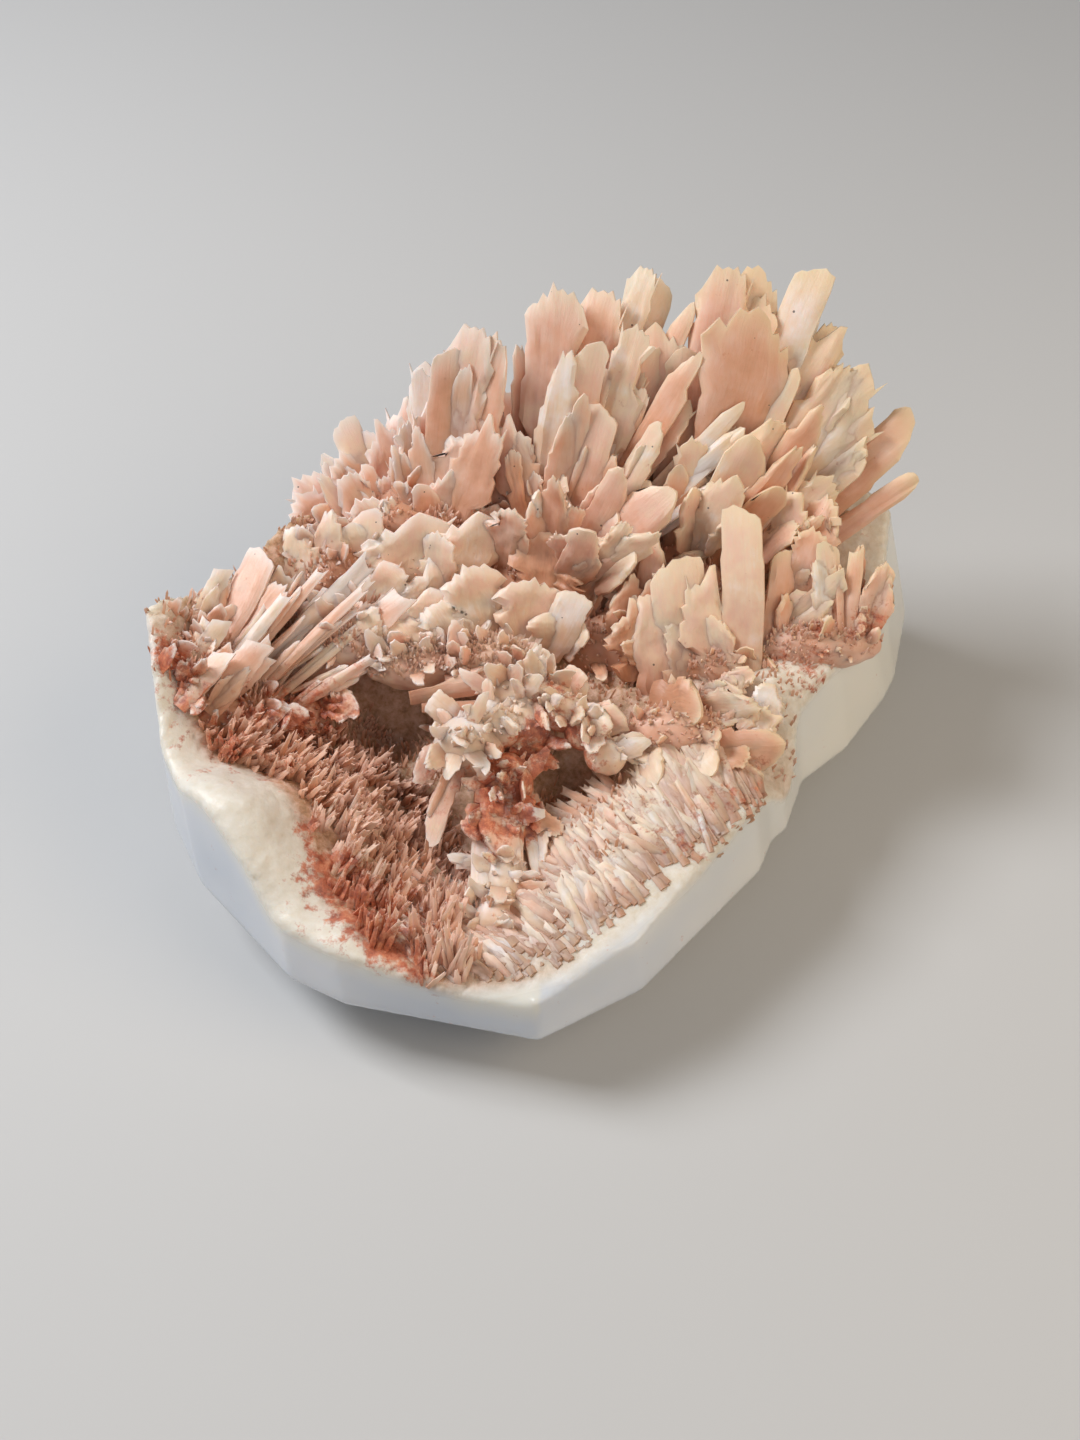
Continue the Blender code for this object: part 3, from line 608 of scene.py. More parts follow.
crest["middle"]["blades"] = [
    (7, 60, 58, 7.8, "fan", pink), (20, 59, 59, 8.6, "comb", peach), (29, 55, 65, 5.2, "comb", cream),
    (31, 51, 62, 7.0, "pillar", white), (43, 52, 61, 4.4, "spike", peach),
    (-8, 56, 48, 4.6, "chisel", peach), (11, 65, 48, 6.6, "chisel", white), (21, 62, 50, 6.4, "flap", pink),
    (42, 58, 45, 3.4, "pillar", white), (53, 53, 55, 4.8, "chisel", peach), (44, 53, 53, 4.6, "comb", pink),
    (69, 46, 53, 3.4, "spike", white), (73, 45, 50, 3.8, "spike", white), (18, 68, 39, 4.6, "chisel", peach),
    (29, 61, 46, 2.6, "pillar", pink), (38, 65, 40, 5.6, "pillar", pink), (73, 63, 33, 5.6, "chisel", pink),
    (86, 53, 36, 6.2, "flap", pink), (102, 53, 32, 5.0, "chisel", cream), (-20, 66, 38, 4.8, "comb", peach),
    (40, 80, 30, 4.8, "chisel", peach), (120, 68, 27, 5.0, "flap", pink), (-16, 43, 46, 6.0, "comb", tan),
    (4, 42, 46, 6.2, "chisel", tan), (24, 42, 48, 6.2, "comb", peach), (12, 50, 50, 6.2, "chisel", peach),
    (-26, 52, 42, 5.2, "comb", pink), (26, 66, 42, 4.0, "spike", pink), (62, 56, 42, 4.4, "chisel", cream),
    (36, 57, 56, 4.8, "comb", cream),
]
crest["right"]["blades"] = [
    (14, 56, 65, 8.4, "comb", pink), (23, 55, 63, 7.4, "fan", cream), (36, 53, 66, 6.4, "pillar", white),
    (49, 51, 60, 9.0, "comb", cream), (53, 49, 57, 8.0, "comb", cream), (60, 44, 52, 8.0, "comb", cream),
    (68, 38, 55, 6.2, "flap", peach), (29, 59, 56, 12.5, "fan", peach), (44, 57, 50, 4.4, "spike", cream),
    (67, 38, 50, 6.4, "chisel", peach), (60, 53, 47, 5.8, "chisel", peach), (53, 60, 42, 6.4, "comb", cream),
    (49, 65, 38, 6.4, "flap", cream), (56, 74, 33, 4.8, "comb", cream), (85, 48, 34, 5.0, "chisel", peach),
    (8, 41, 46, 6.2, "comb", tan), (30, 41, 48, 6.2, "chisel", tan), (50, 38, 48, 6.2, "comb", peach),
    (20, 47, 54, 6.2, "comb", tan), (40, 45, 55, 6.2, "comb", tan), (-12, 47, 48, 5.8, "chisel", tan),
    (-5, 58, 54, 5.6, "comb", pink), (56, 50, 54, 6.4, "fan", cream), (44, 48, 60, 6.0, "comb", cream),
    (76, 46, 40, 5.4, "comb", cream), (64, 58, 40, 5.0, "chisel", peach), (72, 60, 33, 4.8, "flap", tan),
]
crestGrowth = {
    "startReach": 13.0, "widen": 1.12, "lengthen": 0.18, "extra": 2,
    # the smaller blades
    "fillers": 22, "turn": 10, "tilt": 8, "rise": (36, 80), "reach": (0.36, 0.62), "width": (3.0, 7.0),
    "thick": (1.0, 1.8), "kinds": ("chisel", "comb", "flap"),
}
# blades with a foot of their own: x, y, z, heading, rise, length, width, shape, tint
footBlades = [
    (-24, 24, 28, -4, 66, 20, 11.5, "comb", cream), (-14, 25, 30, 8, 69, 18, 8.5, "comb", cream),
    (-19, 20, 27, -6, 58, 15, 10.0, "comb", cream), (-9, 15, 28, -20, 61, 17, 8.5, "fan", cream),
    (-3, 14, 28, 4, 60, 15, 9.0, "fan", cream), (1, 14, 29, 50, 58, 13, 5.8, "pillar", white),
    (-14, 12, 29, -38, 50, 12, 7.5, "comb", cream), (-21, 11, 30, -30, 44, 10, 7.0, "comb", cream),
    (-28, 11, 31, -42, 40, 9, 6.5, "fan", cream), (0, 23, 33, 11, 57, 13, 8.6, "fan", tan),
    (-6, 29, 36, 40, 82, 14, 5.0, "comb", pink), (6, 25, 31, 88, 52, 18, 5.4, "flap", pink),
    (16, 19, 29, 38, 66, 18, 5.0, "chisel", pink), (4, 20, 28, 51, 46, 14, 4.2, "spike", tan),
    (35, 3.5, 26.5, -4, 50, 35, 6.4, "pillar", cream), (26, 6, 26, -9, 50, 25, 9.0, "pillar", 0.72),
    (30, 5, 26, 1, 50, 25, 7.0, "comb", 0.7), (21, 7, 27, -14, 52, 18, 6.0, "comb", 0.66),
    (40, 6, 27, 8, 46, 17, 5.5, "comb", 0.5), (16, 9, 28, -6, 55, 15, 6.0, "comb", tan),
    (24, 13, 31, -25, 52, 16, 2.6, "strip", pink), (43, 24, 38, 44, 50, 17, 5.6, "comb", peach),
    (40, 28, 39, 70, 62, 14, 5.2, "comb", cream), (-30, 28, 36, -7, 59, 11, 6.2, "flap", cream),
    (-37, 26, 36, -6, 56, 12, 5.6, "chisel", cream), (-40, 24, 35, -26, 47, 12, 5.4, "comb", cream),
    (-13, 19, 29, 150, 25, 8, 5.4, "comb", cream), (-12, 16, 27, -34, 50, 13, 6.0, "comb", cream),
    (14, 15, 29, 5, 62, 14, 5.6, "chisel", tan), (-27, 20, 30, -20, 56, 12, 6.0, "comb", cream),
    (-20, 15, 28, -10, 48, 12, 7.0, "comb", cream), (44, 18, 38, 25, 55, 14, 5.0, "comb", peach),
    (20, 14, 30, -12, 58, 13, 4.0, "spike", tan),
]
# the masses that the crest grows from, by middle and half sizes, and the tints of the pale ones
rootLumps = [
    ((-22, 13, 29), (9, 6, 4.5)), ((-9, 12, 28), (9, 6, 5.5)), ((-33, 17, 31), (7, 7, 5)),
    ((-20, 34, 24), (18, 11, 15)), ((3, 34, 25), (19, 12, 15)), ((27, 34, 25), (20, 12, 15)),
    ((-7, 20, 24), (13, 8, 8)), ((20, 19, 25), (18, 8, 8)), ((32, 12, 27), (10, 6, 7)),
    ((-36, 29, 34.5), (7.5, 7, 6)), ((-24, 38, 37), (14, 8, 7)), ((4, 42, 38), (17, 7.5, 7)),
    ((33, 41, 38), (17, 7.5, 7)),
]
paleLumps = {0: 0.7, 1: 0.7, 2: 0.62, 6: 0.5}
# what covers a mass: tufts, with a share of small blades
cover = {
    "perArea": 1.5, "spread": 0.5, "kinds": ("rib", "rib", "rib", "chisel", "flap"),
    "length": (4.5, 9), "width": (0.22, 0.48), "thick": 0.9, "sunk": 2.5,
    "tuftLength": (1.3, 2.6), "tuftWidth": (0.5, 1.2), "tuftThick": 0.45, "tuftSunk": 0.6,
}


def modelLump(name, middle, halfSizes, bumps, tint=0.42, along=0.3):
    # a rounded root mass with a bumpy skin
    deselectAll()
    bpy.ops.mesh.primitive_ico_sphere_add(subdivisions=4, radius=1)
    piece = bpy.context.object
    piece.scale = Vector(halfSizes) * mm
    piece.location = Vector(middle) * mm
    bpy.ops.object.transform_apply(location=True, scale=True)
    clouds = bpy.data.textures.new(name, "CLOUDS")
    clouds.noise_scale = 3.5 * mm
    clouds.noise_depth = 3
    rough = piece.modifiers.new("rough", "DISPLACE")
    rough.texture = clouds
    rough.texture_coords = "LOCAL"
    rough.strength = bumps * mm
    applyAll(piece)
    piece.data.shade_smooth()
    # the along value sets how much of the root brown and painted root shade the mass takes in its material
    for label, value in (("along", along), ("edge", 0.0), ("tint", tint), ("rust", 0.0)):
        writeFloats(piece.data, label, value)
    return piece


def treesOf(lumps):
    return [BVHTree.FromObject(piece, bpy.context.evaluated_depsgraph_get()) for piece in lumps]


def skinPoint(trees, x, y):
    # the highest point over x and y of the block or a lump, and its normal
    best = None
    for tree in [ground] + trees:
        hit = tree.ray_cast(Vector((x * mm, y * mm, 0.2)), Vector((0, 0, -1)))
        if hit[0] and (best is None or hit[0].z > best[0].z):
            best = hit
    return (best[0] / mm, best[1]) if best else (None, None)


def coverLumps(cluster, lumps, trees, lumpTint, density, coarse):
    # covers masses with tufts and, by the share of coarse ones, with small blades
    chance = cluster.chance
    for middle, half in lumps:
        for _ in range(int(density * cover["perArea"] * half[0] * half[1])):
            turn = chance.uniform(0, 2 * math.pi)
            far = math.sqrt(chance.random())
            x = middle[0] + half[0] * far * math.cos(turn)
            y = middle[1] + half[1] * far * math.sin(turn)
            point, normal = skinPoint(trees, x, y)
            if point is None:
                continue
            axis = (normal + scatter(chance, cover["spread"])).normalized()
            if chance.random() < coarse:
                length = chance.uniform(*cover["length"])
                kind = chance.choice(cover["kinds"])
                width = length * chance.uniform(*cover["width"])
                cluster.plant(kind, point - axis * cover["sunk"], axis, length, width, cover["thick"],
                              lumpTint + chance.uniform(-0.25, 0.1))
            else:
                length, width = chance.uniform(*cover["tuftLength"]), chance.uniform(*cover["tuftWidth"])
                cluster.plant("tuft", point - axis * cover["tuftSunk"], axis, length, width,
                              cover["tuftThick"], lumpTint + chance.uniform(-0.15, 0.12))


def growFan(cluster, centre, fanBlades):
    # the blades of one fan, then smaller ones between them
    chance = cluster.chance
    startReach = crestGrowth["startReach"]
    for heading, rise, reach, width, kind, tint in fanBlades:
        start = centre + aim(heading, rise) * startReach
        length = reach - startReach + crestGrowth["lengthen"] * width
        width *= crestGrowth["widen"]
        cluster.bundle(kind, start, heading, rise, length, width, tint, crestGrowth["extra"])
    for _ in range(crestGrowth["fillers"]):
        heading, rise, reach, *_, tint = chance.choice(fanBlades)
        heading += chance.gauss(0, crestGrowth["turn"])
        lowest, highest = crestGrowth["rise"]
        rise = min(highest, max(lowest, rise + chance.gauss(0, crestGrowth["tilt"])))
        length = reach * chance.uniform(*crestGrowth["reach"]) - startReach
        axis = aim(heading, rise)
        smallKind = chance.choice(crestGrowth["kinds"])
        width, thick = chance.uniform(*crestGrowth["width"]), chance.uniform(*crestGrowth["thick"])
        cluster.plant(smallKind, centre + axis * startReach, axis, length, width, thick,
                      tint * 0.8 + chance.uniform(-0.1, 0.1), roll=chance.uniform(-60, 60))


pieces = []
crestLumps = [modelLump("root", middle, half, 2.0) for middle, half in rootLumps]
crestTrees = treesOf(crestLumps)
# the pale masses get a higher along value, so they take less painted root shade
for number, lumpTint in paleLumps.items():
    writeFloats(crestLumps[number].data, "tint", lumpTint)
    writeFloats(crestLumps[number].data, "along", 0.5)
for seed, (fanName, fan) in enumerate(crest.items()):
    cluster = Cluster("crest_" + fanName, 20 + seed)
    growFan(cluster, Vector(fan["centre"]), fan["blades"])
    pieces.append(cluster.gather("pink_blades", "blade_crest"))
# the foot of the crest, with the masses it all grows from
cluster = Cluster("crest_foot", 30)
for x, y, z, heading, rise, length, width, kind, tint in footBlades:
    cluster.bundle(kind, (x, y, z), heading, rise, length, width * 1.1, tint, extra=1)
# each cover's tint, density and share of coarse ones
coverLumps(cluster, rootLumps[:3], crestTrees[:3], 0.74, 1.1, 0.3)
coverLumps(cluster, rootLumps[9:10], crestTrees, 0.5, 0.5, 0.5)
coverLumps(cluster, rootLumps[6:9], crestTrees, 0.4, 0.4, 0.25)
coverLumps(cluster, rootLumps[10:], crestTrees, 0.5, 0.45, 0.3)
cluster.parts += crestLumps
pieces.append(cluster.gather("pink_blades", "blade_crest"))

# smaller groups of blades, in rows like those of the foot, and the masses they grow from
usual = {"slot": "pink_blades", "bumps": 1.6, "extra": 3, "cover": (0.8, 0.2)}
groups = {
    "left_group": {
        **usual, "node": "left_blades", "tint": 0.3,
        "lumps": [((-53, 4, 28), (8, 8, 4)), ((-45, 6, 23), (9, 6, 5)), ((-58, 7, 33), (6, 9, 5))]},
    "ledge_group": {**usual, "node": "ledge_blades", "tint": 0.55, "lumps": [((48, 13, 33), (11, 4.6, 4.3))]},
    "front_group": {**usual, "node": "front_blades", "tint": 0.5, "lumps": [((24, -2, 27), (9, 5.5, 5.5))]},
    "spur_group": {
        "slot": "rusty_crystals", "bumps": 1.2, "extra": 1, "cover": (0.6, 0.4),
        "node": "centre_spur", "tint": 0.85, "lumps": [
            ((-12, -6, 28.5), (6, 5, 5.5)), ((-8, -3, 30), (5, 4, 4)), ((-2, 3, 31), (8, 4, 4)),
            ((4, 0, 30), (5, 3.4, 3.4)), ((8, -3, 28.5), (4, 3.2, 3.2)), ((11, -7, 27), (3.6, 3.6, 2.8)),
            ((-6, -10, 23), (5, 5, 6)), ((-3, -1, 25), (6, 5, 8)), ((-6, -16, 20), (4.4, 6, 5)),
            ((-6, -23, 16), (4.6, 7, 5)), ((-7, -30, 14), (5, 7, 5)),
        ]},
}
groups["left_group"]["blades"] = [
    (-56, 9, 34, 27, 26, 21, 6.4, "pillar", peach), (-59, 11, 37, 24, 25, 14, 3.8, "strip", cream),
    (-51, 5, 29, 48, 24, 33, 3.8, "strip", white), (-44, 7, 26, 61, 29, 29, 5.2, "strip", peach),
    (-47, 9, 29, 55, 27, 26, 2.2, "strip", cream), (-60, -3, 35, 43, 21, 13, 4.2, "strip", cream),
    (-56, -2, 33, 43, 24, 16, 5.2, "strip", peach), (-59, 3, 36, 35, 28, 12, 3.8, "strip", cream),
    (-48, -1, 25, 73, 28, 10, 3.6, "pillar", pink), (-50, -4, 27, 56, 27, 10, 3.0, "strip", peach),
    (-38, 6, 26, 110, 12, 8, 4.6, "flap", peach), (-53, 14, 34, 40, 30, 12, 4.4, "comb", cream),
    (-48, 18, 34, 20, 40, 10, 5.0, "comb", cream), (-44, 14, 31, 50, 34, 14, 4.0, "strip", cream),
    (-35, 14, 31, 60, 40, 10, 4.4, "comb", cream), (-41, 10, 28, 57, 27, 22, 2.0, "strip", tan),
    (-49, 3, 30, 52, 27, 28, 2.0, "strip", peach), (-46, 4, 28, 58, 25, 24, 1.8, "strip", cream),
    (-52, 7, 32, 46, 27, 24, 2.2, "strip", peach), (-43, 3, 27, 66, 22, 18, 2.0, "strip", pink),
    (-54, 4, 34, 42, 26, 19, 2.4, "strip", white), (-54, 1, 32, 47, 24, 14, 3.0, "strip", pink),
]
groups["ledge_group"]["blades"] = [
    (39, 10, 31, 14, 47, 20, 5.4, "pillar", peach), (42, 15, 36, 70, 34, 14, 4.2, "strip", cream),
    (49, 11, 33, 0, 51, 19, 4.2, "pillar", cream), (52, 9, 33, 7, 44, 20, 3.0, "strip", peach),
    (55, 12, 35, 16, 46, 14, 4.2, "chisel", peach), (45, 13, 33, 8, 48, 13, 3.4, "spike", tan),
    (57, 16, 36, 22, 43, 10, 4.0, "flap", peach), (46, 10, 32, 12, 46, 15, 3.4, "strip", peach),
    (53, 16, 36, 10, 50, 13, 4.0, "chisel", tan),
]
groups["front_group"]["blades"] = [
    (19, 3, 30, 128, 22, 11, 7.2, "flap", tan), (24, -4, 28, 150, 6, 10, 4.8, "flap", cream),
    (28, -7, 28, 95, 10, 13, 6.2, "flap", peach), (26, 1, 31, 110, 25, 12, 5.2, "chisel", cream),
    (33, -6, 29, 70, 22, 9, 4.8, "comb", cream), (16, -3, 26, 160, 14, 11, 5.0, "flap", cream),
    (30, 2, 31, 60, 30, 8, 4.0, "comb", cream), (36, -3, 30, 40, 25, 8, 4.4, "comb", white),
]
groups["spur_group"]["blades"] = [
    (-13, -8, 30, 205, -40, 17, 4.0, "chisel", pink), (-14, -6, 30, 232, -18, 10, 4.4, "chisel", pink),
    (-5, -5, 27, 102, -12, 9, 4.8, "chisel", tan), (-8, -13, 26, 165, -22, 13, 6.4, "flap", peach),
    (-22, 2, 31, 78, 2, 19, 2.8, "strip", pink), (-20, 1, 30, 84, -3, 15, 2.2, "strip", peach),
    (5, 0, 30, 128, 14, 9, 5.0, "flap", white), (-5, -12, 25, 178, -22, 18, 4.4, "strip", pink),
    (-9, -14, 24, 184, -24, 18, 4.0, "strip", white), (-2, -12, 23, 172, -20, 17, 3.6, "strip", white),
    (3, 3, 31, 60, 40, 6, 4.4, "pillar", pink), (-14, -3, 31, 300, 30, 6, 4.6, "pillar", white),
    (8, -2, 29, 95, 30, 7, 4.6, "pillar", pink), (-5, -15, 23, 140, -25, 12, 5.0, "comb", peach),
]
groupTrees = []
for seed, (groupName, group) in enumerate(groups.items()):
    cluster = Cluster(groupName, 40 + seed)
    masses = []
    for middle, half in group["lumps"]:
        masses.append(modelLump("mass", middle, half, group["bumps"], group["tint"], 0.55))
    trees = treesOf(masses)
    groupTrees += trees
    for x, y, z, heading, rise, length, width, kind, tint in group["blades"]:
        cluster.bundle(kind, (x, y, z), heading, rise, length, width, tint, group["extra"])
    coverLumps(cluster, group["lumps"], trees, group["tint"], *group["cover"])
    cluster.parts += masses
    pieces.append(cluster.gather(group["slot"], group["node"]))


# the turf round the hollow
def alongLine(line, share):
    place = share * (len(line) - 1)
    first = min(int(place), len(line) - 2)
    return Vector(line[first]).lerp(Vector(line[first + 1]), place - first)


def turfSpot(share, depth):
    # a point between the turf's lines, and whether the block's broken top is there
    x, y = alongLine(turf["outer"], share).lerp(alongLine(turf["inner"], share), depth)
    z = groundAt(x, y)
    return x, y, z, z >= topHeight(x, y) - 2.5


turfPiece = Cluster("needle_turf", 60)
combPiece = Cluster("combed_turf", 61)
chance = turfPiece.chance
for _ in range(turf["clumps"]):
    share, depth = chance.random() * turf["clumpsUpTo"], chance.random()
    x, y, z, onTop = turfSpot(share, depth)
    if not onTop:
        continue
    root = Vector((x, y, z - 1.2))
    toward = Vector(turf["focus"]) - root
    toward.z = 0
    lean = toward.normalized() * chance.uniform(*turf["lean"]) + Vector((0, 0, 1))
    reach = chance.uniform(*turf["length"]) * (1.1 - 0.35 * depth)
    # patches of brown and pink, paler at the outer line in front
    patch = noise.noise(Vector((x / 6, y / 6, 3.5)))
    clumpTint = (0.38 + 0.4 * patch + chance.uniform(-0.08, 0.12)
                 + 0.3 * (1 - depth) ** 2 * (0.25 < share < 0.42) - 0.12 * depth)
    for _ in range(chance.randint(*turf["perClump"])):
        spread = scatter(chance, turf["spread"])
        foot = root + Vector((chance.uniform(-1.2, 1.2), chance.uniform(-1.2, 1.2), 0))
        kind = "tuft" if chance.random() < 0.8 else "rib"
        length, width = reach * chance.uniform(0.55, 1.15), chance.uniform(*turf["width"])
        turfPiece.plant(kind, foot, lean + spread, length, width, turf["thick"],
                        clumpTint + chance.uniform(-0.06, 0.06), roll=chance.uniform(-50, 50))
for _ in range(turf["ribs"]):
    # on the right the ribs lie combed along the ground
    share, depth = chance.uniform(turf["ribsFrom"], 1.0), 0.75 * chance.random()
    x, y, z, onTop = turfSpot(share, depth)
    if not onTop:
        continue
    root = Vector((x, y, z - 0.2))
    length = chance.uniform(*turf["ribLength"])
    turn = math.radians(chance.gauss(*turf["ribHeading"]) - 22 * (share - 0.7))
    endX, endY = x + length * math.cos(turn), y + length * math.sin(turn)
    endZ = max(groundAt(endX, endY), z - 0.45 * length) + chance.uniform(0.2, 1.6)
    axis = Vector((endX, endY, endZ)) - root
    kind = "rib" if chance.random() < 0.8 else "strip"
    width = chance.uniform(*turf["ribWidth"])
    combPiece.plant(kind, root, axis, length, width, 1.0,
                    0.56 + chance.uniform(-0.2, 0.14) + 0.25 * (1 - depth) ** 2, roll=chance.uniform(-18, 18))
pieces.append(turfPiece.gather("needle_turf", "mordenite_crust"))
pieces.append(combPiece.gather("needle_turf", "mordenite_crust"))

# fine needles in the valleys between the blades: x and y ranges, count, tint and lengths of each area
fuzzAreas = [
    ((2, 46), (8, 52), 2200, 0.42, (0.8, 2.6)), ((-44, 2), (21, 52), 1700, 0.45, (0.8, 2.6)),
    ((-38, 2), (6, 21), 1800, 0.78, (1.0, 2.4)), ((-60, -28), (-2, 26), 900, 0.45, (1.4, 3.5)),
    ((-28, 14), (-26, 8), 700, 0.3, (1.2, 3.0)), ((14, 60), (-8, 22), 1000, 0.5, (0.8, 2.2)),
    ((-66, -40), (0, 36), 400, 0.25, (1.2, 3.0)),
]
fuzzShape = {"width": (0.25, 0.55), "thick": 0.3, "sunk": 0.5, "lean": (0.1, 0.3, 0.7), "spread": 0.45}


def overHollow(point, x, y, tint):
    # the brown needles of the hollow don't grow on the spur above it
    return x > -28 and y < 8 and tint < 0.35 and skinPoint([], x, y)[0].z < point.z - 0.5


fuzz = Cluster("fine_needles", 70)
chance = fuzz.chance
for (x0, x1), (y0, y1), count, tint, lengths in fuzzAreas:
    for _ in range(count):
        x, y = chance.uniform(x0, x1), chance.uniform(y0, y1)
        point, normal = skinPoint(crestTrees + groupTrees, x, y)
        if point is None or overHollow(point, x, y, tint):
            continue
        if point.z < 9 or normal.z < 0.3 or point.z < topHeight(x, y) - 2.5:
            continue
        axis = normal * 0.6 + Vector(fuzzShape["lean"]) + scatter(chance, fuzzShape["spread"])
        axis.normalize()
        length, width = chance.uniform(*lengths), chance.uniform(*fuzzShape["width"])
        fuzz.plant("needle", point - axis * fuzzShape["sunk"], axis, length, width, fuzzShape["thick"],
                   tint + chance.uniform(-0.1, 0.12))
pieces.append(fuzz.gather("needle_turf"))


# materials
class Look:
    # a material, with short ways to its nodes
    def __init__(self, name):
        self.material = bpy.data.materials.new(name)
        self.material.use_nodes = True
        self.nodes = self.material.node_tree.nodes
        self.links = self.material.node_tree.links
        self.surface = self.nodes["Principled BSDF"].inputs
        coordinates = self.make("TexCoord")
        self.spot, self.uv = coordinates.outputs["Object"], coordinates.outputs["UV"]

    def feed(self, socket, value):
        # a socket takes a number, a colour, a direction or another node's output
        if isinstance(value, tuple):
            socket.default_value = (*value, 1) if socket.type == "RGBA" else value
        elif isinstance(value, (int, float)):
            socket.default_value = value
        else:
            self.links.new(value, socket)

    def make(self, kind, **values):
        # a node of this kind, with these values in its inputs
        node = self.nodes.new("ShaderNode" + kind)
        for name, value in values.items():
            self.feed(node.inputs[name], value)
        return node

    def attribute(self, name):
        node = self.make("Attribute")
        node.attribute_name = name
        return node.outputs["Fac"]

    def maths(self, operation, first, second, clamp=False):
        node = self.make("Math")
        node.operation = operation
        node.use_clamp = clamp
        self.feed(node.inputs[0], first)
        self.feed(node.inputs[1], second)
        return node.outputs[0]

    def times(self, first, second, clamp=False):
        return self.maths("MULTIPLY", first, second, clamp)

    def plus(self, first, second, clamp=False):
        return self.maths("ADD", first, second, clamp)

    def swing(self, value, amount):
        # how far a noise is from its middle, times an amount
        return self.times(self.maths("SUBTRACT", value, 0.5), amount)

    def blend(self, share, first, second):
        node = self.make("Mix")
        node.data_type = "RGBA"
        for number, value in ((0, share), (6, first), (7, second)):
            self.feed(node.inputs[number], value)
        return node.outputs[2]

    def ramp(self, value, stops):
        band = self.make("ValToRGB", Fac=value)
        while len(band.color_ramp.elements) < len(stops):
            band.color_ramp.elements.new(0.5)
        for stop, (where, colour) in zip(band.color_ramp.elements, stops):
            stop.position = where
            stop.color = (*colour, 1) if isinstance(colour, tuple) else (colour, colour, colour, 1)
        return band.outputs["Color"]

    def grain(self, vector, scale, detail, rough):
        node = self.make("TexNoise", Scale=scale, Detail=detail, Roughness=rough, Vector=vector)
        return node.outputs["Fac"]

    def bump(self, height, strength, distance):
        node = self.make("Bump", Strength=strength, Distance=distance, Height=height)
        self.feed(self.surface["Normal"], node.outputs[0])

    def soften(self, weight, radius, scale):
        # light that goes in and comes out again
        for name, value in (("Weight", weight), ("Radius", radius), ("Scale", scale)):
            self.feed(self.surface["Subsurface " + name], value)


def rustOver(look, fine, rust, colour):
    # patchy rust, from orange to dark red
    patches = look.times(look.maths("SUBTRACT", look.grain(look.spot, 330, 4.0, 0.75), 0.2), 1.6)
    stain = look.ramp(look.plus(look.times(rust, 0.48), patches), [(0.74, 0), (0.95, 1)])
    shades = look.ramp(fine, [
        (0.35, (0.28, 0.05, 0.025)), (0.5, (0.52, 0.12, 0.05)), (0.7, (0.76, 0.29, 0.14))])
    return look.blend(look.times(stain, 0.85), colour, shades)


# rootBrownAndShade sets how strongly the roots are darkened, partly by their own brown and partly by painted
# shade
crystalFinishes = {
    "stilbiteBlades": {"rough": 0.42, "soft": 0.35, "rootBrownAndShade": 0.72,
                       "tipLeft": (0.94, 0.81, 0.76), "tipRight": (0.91, 0.68, 0.45)},
    "mordeniteNeedles": {"rough": 0.6, "soft": 0.2, "rootBrownAndShade": 0.6,
                         "tipLeft": (0.93, 0.6, 0.46), "tipRight": (0.9, 0.68, 0.57)},
}


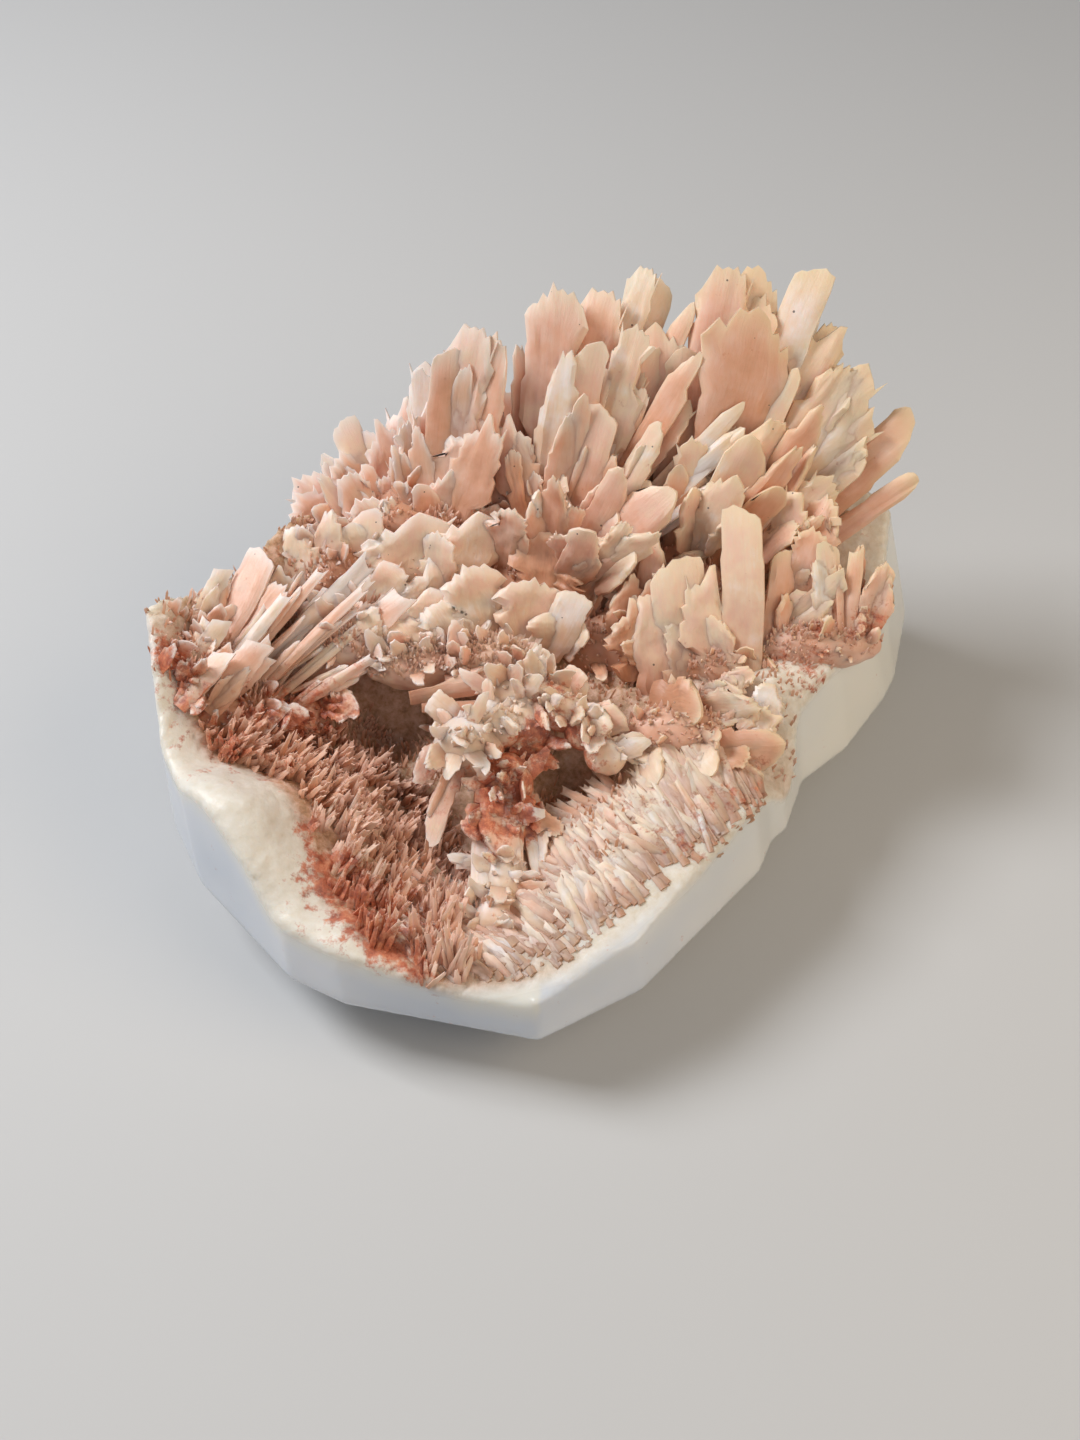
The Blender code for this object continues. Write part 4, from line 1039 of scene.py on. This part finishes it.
def crystalLook(name):
    finish = crystalFinishes[name]
    look = Look(name)
    stretched = look.make("Mapping", Scale=(2.2, 0.22, 1), Vector=look.uv).outputs[0]
    streaks = look.grain(stretched, 1.0, 4.0, 0.65)
    clouds = look.grain(look.spot, 160, 3.0, 0.6)
    fine = look.grain(look.spot, 900, 4.0, 0.7)
    along, edge, tint, rust = (look.attribute(label) for label in ("along", "edge", "tint", "rust"))
    # each crystal's tint, clouded and streaked
    shade = look.plus(look.plus(tint, look.swing(clouds, 0.8)), look.swing(streaks, 0.25), True)
    colour = look.ramp(shade, [
        (0.0, (0.36, 0.14, 0.07)), (0.2, (0.68, 0.33, 0.19)), (0.4, (0.8, 0.43, 0.28)),
        (0.6, (0.85, 0.53, 0.41)), (0.8, (0.86, 0.63, 0.45)), (1.0, (0.91, 0.79, 0.74))])
    # darker, browner roots: partly the crystals' own brown near the root, partly painted shade where the
    # roots lie deep between the blades
    depth = look.ramp(look.plus(along, look.swing(clouds, 0.5)), [(0.0, 1), (0.3, 0.6), (0.7, 0)])
    colour = look.blend(look.times(depth, finish["rootBrownAndShade"]), colour, (0.38, 0.16, 0.08))
    # pale rims and tips, pinkish white on the left and cream on the right; the cream on the right is partly
    # the crystals' own colour and partly painted warm light falling from the right
    rims = look.times(edge, look.times(along, 0.55))
    tips = look.times(look.maths("POWER", along, 2.0), 0.55)
    pale = look.ramp(look.plus(rims, tips, True), [(0.0, 0), (0.45, 0.1), (1.0, 0.75)])
    apart = look.make("SeparateXYZ", Vector=look.spot)
    rightCreamAndWarmLight = look.times(look.plus(apart.outputs["X"], 0.03), 15.0, True)
    colour = look.blend(pale, colour, look.blend(rightCreamAndWarmLight, finish["tipLeft"], finish["tipRight"]))
    # rust in patches, and a few tiny dark specks
    colour = rustOver(look, fine, rust, colour)
    specks = look.make("TexVoronoi", Scale=260, Vector=look.spot).outputs["Distance"]
    few = look.maths("GREATER_THAN", look.plus(clouds, look.times(specks, -5.0)), 0.33)
    colour = look.blend(look.times(few, 0.8), colour, (0.05, 0.035, 0.03))
    look.feed(look.surface["Base Color"], colour)
    look.bump(look.plus(streaks, look.times(fine, 0.5)), 0.3, 0.0004)
    look.feed(look.surface["Roughness"], finish["rough"])
    look.soften(finish["soft"], (1.0, 0.6, 0.45), 0.0024)
    return look.material


def blockLook():
    look = Look("polishedStilbite")
    clouds = look.grain(look.spot, 38, 2.0, 0.5)
    fine = look.grain(look.spot, 520, 5.0, 0.7)
    broken, pale, creamy, rust = (look.attribute(label) for label in ("broken", "pale", "cream", "rust"))
    # milky white where it is polished, with a cream band
    smooth = look.ramp(clouds, [
        (0.3, (0.56, 0.6, 0.67)), (0.5, (0.64, 0.67, 0.72)), (0.7, (0.72, 0.73, 0.76))])
    polished = look.blend(look.times(creamy, 0.65), smooth, (0.86, 0.8, 0.63))
    # brown or white grains where it is broken
    rough = look.ramp(fine, [
        (0.25, (0.2, 0.12, 0.06)), (0.45, (0.5, 0.3, 0.18)),
        (0.6, (0.68, 0.45, 0.33)), (0.8, (0.8, 0.66, 0.54))])
    white = look.ramp(fine, [(0.3, (0.72, 0.62, 0.48)), (0.6, (0.83, 0.76, 0.66)), (0.8, (0.89, 0.85, 0.79))])
    colour = look.blend(broken, polished, look.blend(pale, rough, white))
    look.feed(look.surface["Base Color"], rustOver(look, fine, rust, colour))
    look.feed(look.surface["Roughness"], look.plus(look.times(broken, 0.4), 0.2))
    look.bump(look.times(fine, look.plus(broken, 0.02)), 0.5, 0.0006)
    look.soften(0.45, (1.0, 0.85, 0.7), 0.004)
    return look.material


blades, needles = crystalLook("stilbiteBlades"), crystalLook("mordeniteNeedles")
for piece in pieces:
    piece.data.materials.clear()
    piece.data.materials.append(needles if "needle" in piece.name else blades)
whiteBlock.data.materials.clear()
whiteBlock.data.materials.append(blockLook())
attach(whiteBlock, "root")
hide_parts("stilbite_base")
for shapes in plates.values():
    for shape in shapes:
        bpy.data.objects.remove(shape)
print("materials set")
